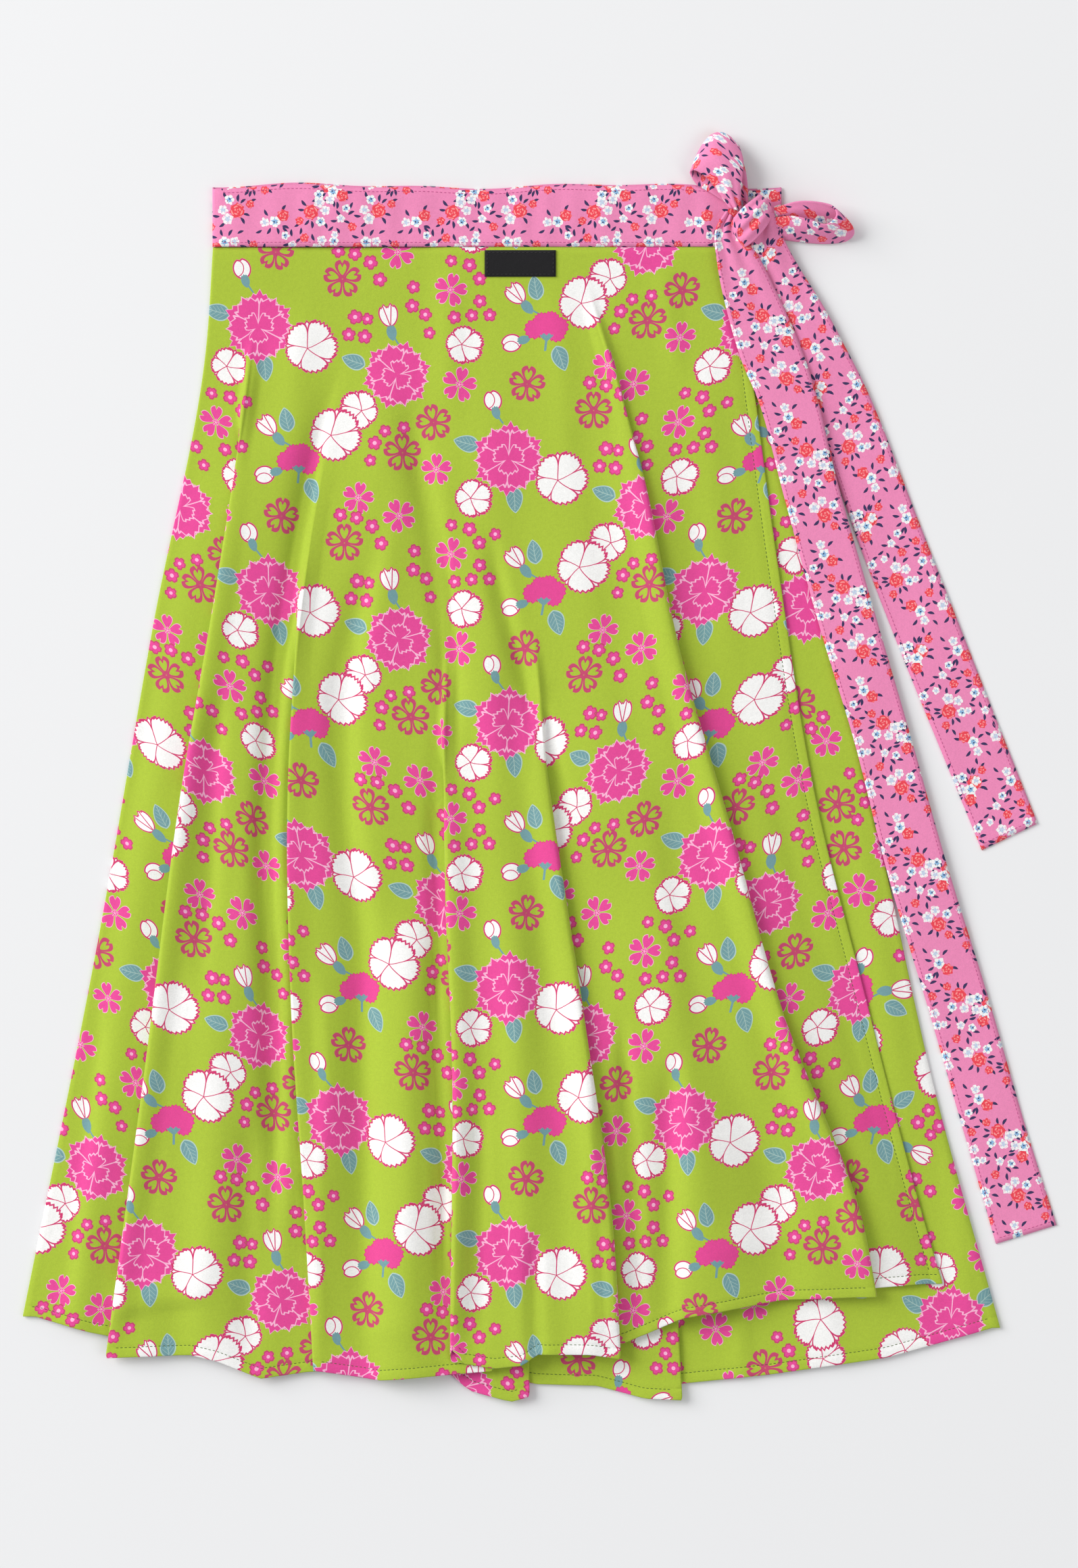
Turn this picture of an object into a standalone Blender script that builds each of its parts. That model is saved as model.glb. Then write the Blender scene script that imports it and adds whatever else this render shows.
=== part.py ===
"""Wrap skirt laid flat, with its ties in a bow.

Millimetres are used throughout and turned into metres as each mesh is made. x runs across the
laid skirt, "down" is the distance below the seam between band and skirt, and z is the height
above the surface that it lies on. The skirt is one wrap: the band and the cloth start with the
under-wrap front, turn round the right-hand fold into the back, and turn round the left-hand
fold into the over-wrap front, which ends at the free edge beside the knot.
"""

import math

import bmesh
import bpy
import numpy as np

MM = 0.001

# ---------------------------------------------------------------- driving sizes
CLOTH = 1.0          # wall of one layer of skirt cloth
STRIP = 1.4          # wall of the doubled cloth of band, ties and loops
GAP = 0.3            # air between neighbouring pieces and layers
PITCH = 1.4          # height from one cloth layer to the next in a lapped fold
BAND_HEIGHT = 38.0   # finished waistband
SEAM_TUCK = 14.0     # how far the side seams lie in from the folds, on the underside
BAND_END = 129.0     # where the band's upper end lies across, under the knot

BACK_LEVEL = CLOTH / 2
UNDER_LEVEL = BACK_LEVEL + PITCH
OVER_LEVEL = UNDER_LEVEL + PITCH
BAND_LEVELS = [STRIP / 2 + step * (STRIP + GAP) for step in range(3)]

# Long lines of the laid skirt: how far across each lies, at distances down from the band.
LINES = {
    "left_fold": {"down": [0, 60, 240, 440, 690], "across": [-208, -212, -246, -281, -331]},
    "right_fold": {"down": [0, 100, 247, 396, 533, 686], "across": [153, 163, 188, 220, 250, 292]},
    "free_edge": {"down": [0, 98, 216, 350, 470, 612, 660],
                  "across": [125, 137, 153, 175, 205, 242, 256]},
    "under_edge": {"down": [0, 350, 700], "across": [-40, -58, -82]},
}

# Lapped folds. side 1: the cloth on the right lies over the left, -1: the left over the right.
# starts and lapped: down, where the ridge begins and where it has turned right over.
# lap and roll: at the hem, the width that is hidden and the radius of the rolled edge.
OVER_FOLDS = [
    {"side": 1, "starts": 50, "lapped": 150, "lap": 20, "roll": 2.0,
     "down": [0, 83, 212, 347, 531, 706], "across": [-178, -186, -205, -228, -252, -276]},
    {"side": 1, "starts": 120, "lapped": 320, "lap": 12, "roll": 1.6,
     "down": [0, 105, 190, 315, 483, 607, 714],
     "across": [-118, -132, -147, -159, -158, -150, -144]},
    {"side": 1, "starts": 250, "lapped": 370, "lap": 26, "roll": 2.2,
     "down": [0, 331, 504, 699], "across": [-42, -60, -63, -58]},
    {"side": -1, "starts": 240, "lapped": 350, "lap": 22, "roll": 2.0,
     "down": [0, 322, 484, 622, 706], "across": [-14, 3, 27, 46, 51]},
    {"side": -1, "starts": 20, "lapped": 130, "lap": 30, "roll": 2.2,
     "down": [0, 144, 255, 366, 484, 622, 664], "across": [22, 65, 88, 120, 153, 205, 213]},
]
UNDER_FOLDS = [
    {"side": -1, "starts": 520, "lapped": 640, "lap": 16, "roll": 0.9,
     "down": [0, 500, 734], "across": [-12, -9, -7]},
    {"side": -1, "starts": 500, "lapped": 620, "lap": 14, "roll": 0.9,
     "down": [0, 500, 730], "across": [45, 78, 90]},
]

# The hem between one fold and the next: how far down it hangs at places across.
OVER_HEM = [
    {"across": [-327, -299, -276], "down": [680, 690, 696]},
    {"across": [-276, -227, -211, -186, -159, -144], "down": [706, 704, 708, 719, 715, 714]},
    {"across": [-144, -113, -58], "down": [714, 720, 714]},
    {"across": [-58, -49, -30, -12, -2, 33, 51], "down": [699, 709, 712, 710, 703, 703, 706]},
    {"across": [51, 71, 108, 166, 213], "down": [692, 697, 680, 669, 667]},
    {"across": [213, 256], "down": [665, 659]},
]
UNDER_HEM = [
    {"across": [-82, -58, -44, -18, -7], "down": [704, 715, 727, 734, 731]},
    {"across": [-7, 10, 43, 69, 90], "down": [719, 723, 724, 732, 733]},
    {"across": [90, 152, 224, 292], "down": [724, 717, 706, 687]},
]
BACK_HEM = {"across": [-314, -60, 278], "down": [668, 700, 676]}

# Height of the soft arch between one fold and the next, at the hem.
OVER_ARCH = [4.0, 6.5, 6.0, 6.5, 5.5, 2.5]
UNDER_ARCH = [0.4, 0.4, 1.5]


# ---------------------------------------------------------------- reading the tables
def smooth(at, stations, values):
    """The value at each place, on a smooth curve through a short table."""
    s, v = np.asarray(stations, float), np.asarray(values, float)
    slope = np.gradient(v, s)
    i = np.clip(np.searchsorted(s, at) - 1, 0, len(s) - 2)
    step = s[i + 1] - s[i]
    t = (np.asarray(at, float) - s[i]) / step
    start = (1 + 2 * t) * (1 - t) ** 2 * v[i] + t * (1 - t) ** 2 * step * slope[i]
    return start + t * t * (3 - 2 * t) * v[i + 1] + t * t * (t - 1) * step * slope[i + 1]


def across(line, down):
    return smooth(down, line["down"], line["across"])


def rise(value, low, high):
    """0 below low, 1 above high and a soft step between."""
    t = np.clip((np.asarray(value, float) - low) / (high - low), 0, 1)
    return t * t * (3 - 2 * t)


# ---------------------------------------------------------------- lapped folds
TIGHT_TURN = np.radians([-90, -30, 30, 90])
ROLL_TURN = np.radians([-90, -45, 0, 45, 90])
TURN_POINTS = len(TIGHT_TURN) + len(ROLL_TURN)
# Before it turns over, a fold is a ridge: its points across from its crest, and their heights.
RIDGE = {"across": [-6.0, -4.5, -3.2, -2.2, -1.5, -0.8, 0.0, 0.8, 1.5],
         "height": [0.0, 0.3, 1.2, 2.3, 3.2, 4.0, 4.3, 4.0, 3.2]}
LEAST_LAP = 6.0


def lap_at(fold, down):
    """Width, roll radius and how far the fold has risen and turned over, at places down."""
    middle = (fold["starts"] + fold["lapped"]) / 2
    grown = np.clip((down - fold["starts"]) / (max(fold["down"]) - fold["starts"]), 0, 1)
    width = LEAST_LAP + (fold["lap"] - LEAST_LAP) * grown
    roll = np.minimum(PITCH / 2 + (fold["roll"] - PITCH / 2) * rise(grown, 0, 0.4), width / 3)
    risen = rise(down, fold["starts"], middle)
    return width, roll, risen, rise(down, middle, fold["lapped"])


def fold_points(fold, down):
    """Across and height of each point of a fold, over the height of the cloth that it lies on.

    The cloth runs under the fold, turns tightly back, and rolls over into the upper layer. down
    has one column for each point, in the order that the cloth runs from left to right.
    """
    order = np.arange(TURN_POINTS)[:: fold["side"]]
    xs, zs = np.empty_like(down), np.empty_like(down)
    for column, point in enumerate(order):
        width, roll, risen, turned = lap_at(fold, down[:, column])
        if point < len(TIGHT_TURN):
            angle = TIGHT_TURN[point]
            x = width + PITCH / 2 * np.cos(angle)
            z = PITCH / 2 * (1 + np.sin(angle)) + 0 * width
        else:
            angle = ROLL_TURN[point - len(TIGHT_TURN)]
            x = roll * (1 - np.cos(angle))
            z = PITCH + roll * (1 + np.sin(angle))
        xs[:, column] = fold["side"] * ((1 - turned) * RIDGE["across"][point] + turned * x)
        zs[:, column] = risen * ((1 - turned) * RIDGE["height"][point] + turned * z)
    edge = across(fold, down)
    return edge + xs, zs


def cover(fold, distance, down):
    """How far the upper layer is lifted over a fold, at a distance from its visible edge."""
    width, roll, risen, turned = lap_at(fold, down)
    ridge = RIDGE["height"][-1] * (1 - rise(distance, RIDGE["across"][-1], 9))
    held = 2 * PITCH * (1 - rise(distance, width + 5, width + 30))
    rolled = (2 * roll - PITCH) * (1 - rise(distance, roll, 3 * roll + 10))
    return risen * ((1 - turned) * ridge + turned * (held + rolled))


# ---------------------------------------------------------------- the cloth that it rests on
def lapped_width(line, down, side):
    """How much of the cloth beside a line lies over a fold's hidden layers."""
    if line.get("side") != side:
        return 0.0
    width, _, risen, _ = lap_at(line, down)
    return (width + 6.0) * risen


def arches(x, down, edges, heights):
    """The soft arch between each line and the next, growing from the waist to the hem. It starts
    beyond the lapped layers, which lie flat on each other."""
    total = np.zeros_like(x)
    for left, right, height in zip(edges[:-1], edges[1:], heights):
        low = across(left, down) + lapped_width(left, down, 1)
        high = across(right, down) - lapped_width(right, down, -1)
        part = np.clip((x - low) / (high - low), 0, 1)
        total += height * rise(down, 60, 700) * np.sin(np.pi * part) ** 2
    return total


def under_height(x, down):
    edges = [LINES["under_edge"], *UNDER_FOLDS, LINES["right_fold"]]
    return UNDER_LEVEL + arches(x, down, edges, UNDER_ARCH)


def over_height(x, down):
    """The over-wrap lies on the back on the left, on the under-wrap on the right, and rises to
    the band's upper layer at its top."""
    edges = [LINES["left_fold"], *OVER_FOLDS, LINES["free_edge"]]
    on_under = rise(x - across(LINES["under_edge"], down), -35, -8)
    below = on_under * (under_height(x, down) - UNDER_LEVEL + PITCH)
    hidden = 4.8 * rise(down, 400, 545) * rise(x, -118, -62) * (1 - rise(x, 100, 150))
    band = (BAND_LEVELS[2] - OVER_LEVEL) * (1 - rise(down, 0, 45))
    return UNDER_LEVEL + below + hidden + band + arches(x, down, edges, OVER_ARCH)


# ---------------------------------------------------------------- panels
def hem_at(table, x):
    return np.interp(x, table["across"], table["down"])


def panel_points(folds, hems, start, end, height, counts, rows):
    """Across, down and height of a front panel's grid, from its left line to its right line.

    counts has the number of columns inside each stretch between two folds.
    """
    part = (np.arange(rows) / (rows - 1))[:, None]
    hem_row = np.full((1, 1), 700.0)
    columns = []
    before = (start, None)
    for number, count in enumerate(counts):
        fold = folds[number] if number < len(folds) else None
        share = (np.arange(count) + 1) / (count + 1)
        left, right = before[0], fold or end
        hem_x = across(left, hem_row) * (1 - share) + across(right, hem_row) * share
        down = GAP / 2 + part * (hem_at(hems[number], hem_x[0])[None, :] - GAP / 2)
        low, high = span_end(left, down, -1), span_end(right, down, 1)
        x = low * (1 - share) + high * share
        z = np.zeros_like(x)
        if before[1] is not None and before[1]["side"] > 0:
            z += cover(before[1], x - across(left, down), down)
        if fold is not None and fold["side"] < 0:
            z += cover(fold, across(right, down) - x, down)
        columns.append((x, down, z))
        if fold is not None:
            ends = np.array([hem_at(hems[number], fold["across"][-1]),
                             hem_at(hems[number + 1], fold["across"][-1])])
            hem = np.interp(np.linspace(0, 1, TURN_POINTS), [0, 1], ends)
            down = GAP / 2 + part * (hem[None, :] - GAP / 2)
            x, z = fold_points(fold, down)
            columns.append((x, down, z))
            before = (fold, fold)
    x, down, z = (np.concatenate([c[i] for c in columns], axis=1) for i in range(3))
    return x, down, z + height(x, down)


def span_end(line, down, side):
    """Where a stretch of cloth meets a fold, or the line itself where there is none."""
    edge = across(line, down)
    if "side" not in line:
        return edge
    width, roll, _, turned = lap_at(line, down)
    if line["side"] == side:
        reach = (1 - turned) * RIDGE["across"][0] + turned * width
    else:
        reach = (1 - turned) * RIDGE["across"][-1] + turned * roll
    return edge + line["side"] * reach


def turn_under(x, down, z, outer, side):
    """Adds the fold at one side and the strip that it turns under, to the side seam.

    side is -1 for a fold on the left, where the columns come before the panel's own.
    """
    top = z[:, :1] if side < 0 else z[:, -1:]
    d = down[:, :1] if side < 0 else down[:, -1:]
    radius = (top - BACK_LEVEL) / 2
    edge = across(outer, d)
    angles = np.radians([-90, -45, 0, 45])[None, :]
    turn_x = edge - side * radius * (1 - np.cos(angles))
    turn_z = BACK_LEVEL + radius * (1 + np.sin(angles))
    seam_x = edge - side * SEAM_TUCK
    new_x = np.concatenate([seam_x, turn_x], axis=1)
    new_z = np.concatenate([np.full_like(seam_x, BACK_LEVEL), turn_z], axis=1)
    new_d = np.repeat(d, new_x.shape[1], axis=1)
    if side > 0:
        new_x, new_z = new_x[:, ::-1], new_z[:, ::-1]
        return [np.concatenate(pair, axis=1) for pair in ((x, new_x), (down, new_d), (z, new_z))]
    return [np.concatenate(pair, axis=1) for pair in ((new_x, x), (new_d, down), (new_z, z))]


def over_front_points(rows=16, counts=(3, 5, 4, 5, 5, 2)):
    edges = (LINES["left_fold"], LINES["free_edge"])
    x, down, z = panel_points(OVER_FOLDS, OVER_HEM, *edges, over_height, counts, rows)
    last = across(LINES["free_edge"], down[:, -1:])
    x, z = np.hstack([x, last]), np.hstack([z, over_height(last, down[:, -1:])])
    down = np.hstack([down, down[:, -1:] - 0.5 * np.arange(rows)[:, None] / rows])
    return turn_under(x, down, z, LINES["left_fold"], -1)


def under_front_points(rows=13, counts=(2, 4, 6)):
    edges = (LINES["under_edge"], LINES["right_fold"])
    x, down, z = panel_points(UNDER_FOLDS, UNDER_HEM, *edges, under_height, counts, rows)
    first = across(LINES["under_edge"], down[:, :1])
    x, z = np.hstack([first, x]), np.hstack([under_height(first, down[:, :1]), z])
    down = np.hstack([down[:, :1], down])
    return turn_under(x, down, z, LINES["right_fold"], 1)


def back_points(rows=12, columns=9):
    part = (np.arange(rows) / (rows - 1))[:, None]
    share = (np.arange(columns) / (columns - 1))[None, :]
    hem_x = np.interp(share, [0, 1], [BACK_HEM["across"][0], BACK_HEM["across"][-1]])
    down = GAP / 2 + part * (smooth(hem_x, BACK_HEM["across"], BACK_HEM["down"]) - GAP / 2)
    inset = SEAM_TUCK + 4 * GAP   # the folds curve between the grid's rows
    low, high = across(LINES["left_fold"], down) + inset, across(LINES["right_fold"], down) - inset
    return low * (1 - share) + high * share, down, np.full_like(down, BACK_LEVEL)


# ---------------------------------------------------------------- waistband
def band_points(steps=12, rows=4):
    """The band is one strip: under-wrap, right fold, back, left fold and over-wrap."""
    left, right = LINES["left_fold"]["across"][0], LINES["right_fold"]["across"][0]
    low, middle, high = BAND_LEVELS
    angles = np.radians([-60, -20, 20, 60])
    path = [(x, middle) for x in np.linspace(-40, right - 4, steps // 2)]
    radius = (middle - low) / 2
    path += [(right - radius + radius * math.cos(a), low + radius * (1 - math.sin(a))) for a in angles]
    path += [(x, low) for x in np.linspace(right - 4, left + 6, steps)]
    radius = (high - low) / 2
    path += [(left + radius - radius * math.cos(a), low + radius * (1 + math.sin(a))) for a in angles]
    path += [(x, high) for x in np.linspace(left + 6, BAND_END, 2 * steps)]
    path = np.array(path)
    up = np.linspace(GAP / 2, BAND_HEIGHT, rows)[:, None]
    x = np.repeat(path[None, :, 0], rows, axis=0)
    z = np.repeat(path[None, :, 1], rows, axis=0)
    wave = 1.3 * np.sin(x / 31.0) + 0.8 * np.sin(x / 13.0 + 1.0)
    back = np.where(z < middle, 1.2, 0.0)
    return x, -(up + (wave + back) * (up / BAND_HEIGHT)), z


# ---------------------------------------------------------------- ties, loops and knot
# Each row is one place along a strip of doubled cloth: one edge, the other edge, and how high
# each of them lies. Lengths run from the knot to the free end.
TIE_LONG = {
    "edge":        [(112, -11), (112, 9), (117, 35), (127, 70), (141, 105), (155, 159), (178, 243),
                    (200, 316), (221.5, 401), (247, 485), (271, 568), (290, 634)],
    "other_edge":  [(122, -6.5), (135, 2), (150, 29), (164, 60), (176, 96), (189, 150), (213, 234),
                    (234, 306), (258, 391), (284, 474), (308, 557), (328.5, 622)],
    "height":      [7.4, 6.4, 6.0, 5.6, 5.2, 4.3, 3.9, 3.8, 3.6, 1.5, 0.7, 0.7],
}
TIE_SHORT = {
    "edge":        [(134, -2), (136, 22), (146, 53), (157, 76), (177, 116), (204.5, 193),
                    (232, 264), (257, 325), (281, 383.5)],
    "other_edge":  [(152, -5), (161, 7), (179, 36), (191.5, 59), (212, 100.5), (242, 177.5),
                    (270, 249), (294, 310), (316.5, 366.5)],
    "height":      [4.4, 4.1, 3.7, 3.5, 1.6, 0.7, 0.7, 0.7, 0.7],
}
# A bow loop runs out from the knot, turns at its tip and comes back below or behind itself.
# Each place has its two edges and the strip's middle: across, down, height.
LOOP_UPPER = {
    "edge":       [(119, -27.5, 9), (111, -34, 11), (102, -41, 12), (96.5, -46, 11),
                   (95, -48, 7.5), (97, -45.5, 3.6), (104, -40.5, 6.2), (117, -29.5, 6.3)],
    "middle":     [(125, -30, 11.5), (121, -39, 14), (116, -52, 15), (111.5, -66, 13),
                   (110, -70.5, 7.5), (112, -65, 3.2), (115, -46, 6.2), (124, -31.5, 6.6)],
    "other_edge": [(131, -30.5, 11), (131, -38, 13), (130.5, -46, 13.5), (128, -57, 12),
                   (126.5, -61, 7.5), (127, -55, 3.2), (129, -46, 5.8), (131, -32.5, 6.3)],
}
LOOP_SIDE = {
    "edge":       [(146.5, -9, 6.4), (160, -6, 4.0), (175, -4, 2.2), (187, -3.5, 1.6),
                   (195, -7, 1.6), (187, -9.5, 1.6), (172, -11.5, 2.6), (149, -14, 5.9)],
    "middle":     [(147, -13, 10.5), (161.5, -11, 11), (177, -9.5, 11), (189, -9, 9.5),
                   (197.5, -11, 8), (189, -16.5, 7.5), (170, -20, 8), (149, -19, 8.8)],
    "other_edge": [(147.5, -18, 13.5), (163, -18.5, 17), (180, -17.5, 19), (191, -17.5, 17),
                   (197, -15.5, 14), (188, -24, 13.5), (166, -28.5, 13), (149, -24, 11)],
}
KNOT = {"across": 133, "down": -16, "half_width": 12.5, "half_length": 12.0, "low": 5.2, "high": 17.0}
LABEL = {"across": (-35.3, 9.9), "down": (2.2, 19.0), "wall": 1.0}


def strip_points(table, samples):
    """A tie: from edge to edge in four steps, at evenly spaced places along its table."""
    rows = np.arange(len(table["height"]))
    at = np.linspace(0, rows[-1], samples)
    height = np.maximum(smooth(at, rows, table["height"]), STRIP / 2)
    share = np.linspace(0, 1, 5)[None, :]
    grids = []
    for axis in range(2):
        first, last = ([point[axis] for point in table[name]] for name in ("edge", "other_edge"))
        low, high = smooth(at, rows, first)[:, None], smooth(at, rows, last)[:, None]
        grids.append(low * (1 - share) + high * share)
    return grids[0], grids[1], np.repeat(height[:, None], share.size, axis=1)


def loop_points(table, samples, steps=6):
    """A bow loop: each place is a soft curve through the strip's edge, middle and other edge."""
    rows = np.arange(len(table["middle"]))
    at = np.linspace(0, rows[-1], samples)
    share = np.linspace(0, 1, steps)[None, :]
    grids = []
    for axis in range(3):
        first, middle, last = (
            smooth(at, rows, [point[axis] for point in table[name]])[:, None]
            for name in ("edge", "middle", "other_edge"))
        grids.append(first * (1 - share) * (1 - 2 * share) + middle * 4 * share * (1 - share)
                     + last * share * (2 * share - 1))
    return grids


def label_points(columns=7, rows=3):
    x, down = np.meshgrid(np.linspace(*LABEL["across"], columns), np.linspace(*LABEL["down"], rows))
    return x, down, over_height(x, down) + CLOTH / 2 + GAP + LABEL["wall"] / 2


# ---------------------------------------------------------------- making the objects
def material(name, colour, roughness):
    made = bpy.data.materials.new(name)
    made.use_nodes = True
    shader = made.node_tree.nodes["Principled BSDF"]
    shader.inputs["Base Color"].default_value = (*colour, 1)
    shader.inputs["Roughness"].default_value = roughness
    shader.inputs["Metallic"].default_value = 0.0
    made.diffuse_color = (*colour, 1)
    return made


def add_object(name, mesh_from, finish, collection):
    mesh = bpy.data.meshes.new(name)
    mesh_from.to_mesh(mesh)
    mesh_from.free()
    mesh.materials.append(finish)
    mesh.shade_smooth()
    mesh.set_sharp_from_angle(angle=math.radians(50))
    made = bpy.data.objects.new(name, mesh)
    collection.objects.link(made)
    return made


def add_cloth(name, points, wall, finish, collection):
    """One piece of cloth: a grid moved onto its points, with its wall from Solidify."""
    x, down, z = points
    rows, columns = x.shape
    grid = bmesh.new()
    bmesh.ops.create_grid(grid, x_segments=columns - 1, y_segments=rows - 1, size=1)
    for vert in grid.verts:
        column = round((vert.co.x + 1) / 2 * (columns - 1))
        row = round((1 - vert.co.y) / 2 * (rows - 1))
        vert.co = (x[row, column] * MM, -down[row, column] * MM, z[row, column] * MM)
    made = add_object(name, grid, finish, collection)
    solid = made.modifiers.new("wall", "SOLIDIFY")
    solid.thickness = wall * MM
    solid.offset = 0
    return made


def add_knot(finish, collection):
    """The knot: a squat round form with the groove of the strip that wraps it, flat below."""
    ball = bmesh.new()
    bmesh.ops.create_uvsphere(ball, u_segments=16, v_segments=10, radius=1)
    middle, half = (KNOT["high"] + KNOT["low"]) / 2, (KNOT["high"] - KNOT["low"]) / 2
    for vert in ball.verts:
        x, y, z = vert.co
        groove = 1 - 0.10 * math.exp(-((x - y) / 0.25) ** 2) * max(z, 0)
        height = max(z * groove * 1.15, -1.0)
        vert.co = ((KNOT["across"] + KNOT["half_width"] * x) * MM,
                   (-KNOT["down"] + KNOT["half_length"] * y) * MM,
                   (middle + half * min(height, 1.0)) * MM)
    return add_object("bow_knot", ball, finish, collection)


def centre(objects):
    """Moves everything so that the middle of its outline, at the height it rests on, is zero."""
    view = bpy.context.evaluated_depsgraph_get()
    corners = []
    for made in objects:
        mesh = made.evaluated_get(view).to_mesh()
        corners += [vert.co.copy() for vert in mesh.vertices]
        made.evaluated_get(view).to_mesh_clear()
    places = np.array(corners)
    low, high = places.min(axis=0), places.max(axis=0)
    shift = (-(low[0] + high[0]) / 2, -(low[1] + high[1]) / 2, -low[2])
    for made in objects:
        for vert in made.data.vertices:
            vert.co.x += shift[0]
            vert.co.y += shift[1]
            vert.co.z += shift[2]
    print("shift", [round(value / MM, 3) for value in shift],
          "size", [round(value / MM, 1) for value in high - low])


def main():
    for old in list(bpy.data.objects):
        bpy.data.objects.remove(old)
    skirt = bpy.data.collections.new("wrap_skirt")
    bpy.context.scene.collection.children.link(skirt)

    floral = material("floral_cloth", (0.39, 0.57, 0.05), 0.8)
    ditsy = material("ditsy_cloth", (0.80, 0.19, 0.47), 0.8)
    black = material("label_weave", (0.01, 0.01, 0.01), 0.7)

    made = [
        add_cloth("back_panel", back_points(), CLOTH, floral, skirt),
        add_cloth("front_under", under_front_points(), CLOTH, floral, skirt),
        add_cloth("front_over", over_front_points(), CLOTH, floral, skirt),
        add_cloth("waistband", band_points(), STRIP, ditsy, skirt),
        add_cloth("tie_short", strip_points(TIE_SHORT, 17), STRIP, ditsy, skirt),
        add_cloth("tie_long", strip_points(TIE_LONG, 24), STRIP, ditsy, skirt),
        add_cloth("bow_loop_upper", loop_points(LOOP_UPPER, 20), STRIP, ditsy, skirt),
        add_cloth("bow_loop_side", loop_points(LOOP_SIDE, 20), STRIP, ditsy, skirt),
        add_knot(ditsy, skirt),
        add_cloth("label_patch", label_points(), LABEL["wall"], black, skirt),
    ]
    centre(made)


main()
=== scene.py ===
# %% [markdown]
# # A wrap skirt laid flat, with its ties in a bow
# The real skirt is one long wrap of printed cloth. It starts with the under-wrap front, turns round
# the right-hand side into the back, and turns round the left-hand side into the over-wrap front.
# A folded waistband of a smaller print holds the top edge, and its two ends are the ties.
# Each piece is made here as a thin shell on the middle of its solid's wall, and each print is drawn
# in its material with arithmetic, so that nothing has to be loaded from a file.

# %% The frame, the tools and the size of the whole object
import math
import random

import bmesh
import bpy
import numpy as np
from mathutils import Matrix, Vector


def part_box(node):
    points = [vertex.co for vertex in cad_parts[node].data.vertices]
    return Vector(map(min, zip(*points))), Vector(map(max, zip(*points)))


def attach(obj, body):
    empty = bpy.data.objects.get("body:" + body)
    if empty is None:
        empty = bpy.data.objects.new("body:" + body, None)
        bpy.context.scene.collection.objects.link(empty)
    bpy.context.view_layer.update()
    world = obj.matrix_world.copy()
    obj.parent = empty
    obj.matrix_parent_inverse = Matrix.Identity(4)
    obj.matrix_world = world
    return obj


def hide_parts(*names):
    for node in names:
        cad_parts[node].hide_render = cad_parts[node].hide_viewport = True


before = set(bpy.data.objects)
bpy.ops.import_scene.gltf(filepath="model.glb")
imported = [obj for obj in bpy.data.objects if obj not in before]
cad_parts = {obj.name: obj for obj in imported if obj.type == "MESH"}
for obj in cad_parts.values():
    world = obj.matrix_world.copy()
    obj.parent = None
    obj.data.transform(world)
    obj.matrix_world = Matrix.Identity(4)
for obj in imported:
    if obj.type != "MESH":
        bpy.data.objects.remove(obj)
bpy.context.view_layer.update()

# %% [markdown]
# ## Where the garment lies in the frame
# A dressmaker measures from the waist seam, so places here are "across" the laid skirt and "down"
# from the seam between band and skirt, in millimetres. The label's solid is the landmark that
# says where the two zeros are in the frame: its place on the garment is known.

# %% Garment millimetres to frame metres
MM = 0.001
LABEL = {"across": (-35.3, 9.9), "down": (2.2, 19.0)}
label_low, label_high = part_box("label_patch")
ZERO_X = (label_low.x + label_high.x) / 2 - MM * sum(LABEL["across"]) / 2
ZERO_Y = (label_low.y + label_high.y) / 2 + MM * sum(LABEL["down"]) / 2


def in_frame(across_mm, down_mm, height_mm):
    return across_mm * MM + ZERO_X, ZERO_Y - down_mm * MM, height_mm * MM


print("waist seam's zero", round(ZERO_X, 4), round(ZERO_Y, 4))

# %% [markdown]
# ## Camera, floor and light
# A garment is shown flat by standing right over it with a long lens, so that nothing leans. The
# light is what makes the folds read: a wide soft light, low on the left, shades the right-hand side
# of each fold, and the pale surroundings fill that side. The floor is plain and runs far out.

# %% Camera
VIEW_HEIGHT = 0.998
VIEW_CENTRE = (0.0, -0.0108)
STAND = 3.0

camera_data = bpy.data.cameras.new("camera")
camera_data.angle = 2 * math.atan(VIEW_HEIGHT / 2 / STAND)
camera_data.clip_end = 50
camera = bpy.data.objects.new("camera", camera_data)
camera.location = (*VIEW_CENTRE, STAND)
bpy.context.scene.collection.objects.link(camera)
bpy.context.scene.camera = camera
bpy.context.scene.view_settings.view_transform = "Standard"

# %% Floor
floor_form = bmesh.new()
bmesh.ops.create_grid(floor_form, x_segments=1, y_segments=1, size=8)
floor_mesh = bpy.data.meshes.new("floor")
floor_form.to_mesh(floor_mesh)
floor_form.free()
floor = bpy.data.objects.new("floor", floor_mesh)
bpy.context.scene.collection.objects.link(floor)
paper = bpy.data.materials.new("pale_floor")
paper.use_nodes = True
paper_shader = paper.node_tree.nodes["Principled BSDF"]
paper_shader.inputs["Base Color"].default_value = (0.84, 0.84, 0.842, 1)
paper_shader.inputs["Roughness"].default_value = 0.9
floor_mesh.materials.append(paper)

# %% Light
world = bpy.data.worlds.new("pale_room")
world.use_nodes = True
world.node_tree.nodes["Background"].inputs["Color"].default_value = (0.97, 0.98, 1.0, 1)
world.node_tree.nodes["Background"].inputs["Strength"].default_value = 0.485
bpy.context.scene.world = world


def soft_light(name, place, size, watts):
    """A square light that faces the middle of the skirt and doesn't show itself."""
    data = bpy.data.lights.new(name, "AREA")
    data.shape = "SQUARE"
    data.size = size
    data.energy = watts
    light = bpy.data.objects.new(name, data)
    light.location = place
    light.rotation_euler = (-Vector(place)).to_track_quat("-Z", "Y").to_euler()
    light.visible_camera = False
    bpy.context.scene.collection.objects.link(light)


soft_light("window_light", (-6.3, 2.9, 4.1), 5.2, 650)
soft_light("fill_light", (3.8, -1.2, 4.0), 3.0, 46)

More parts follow.
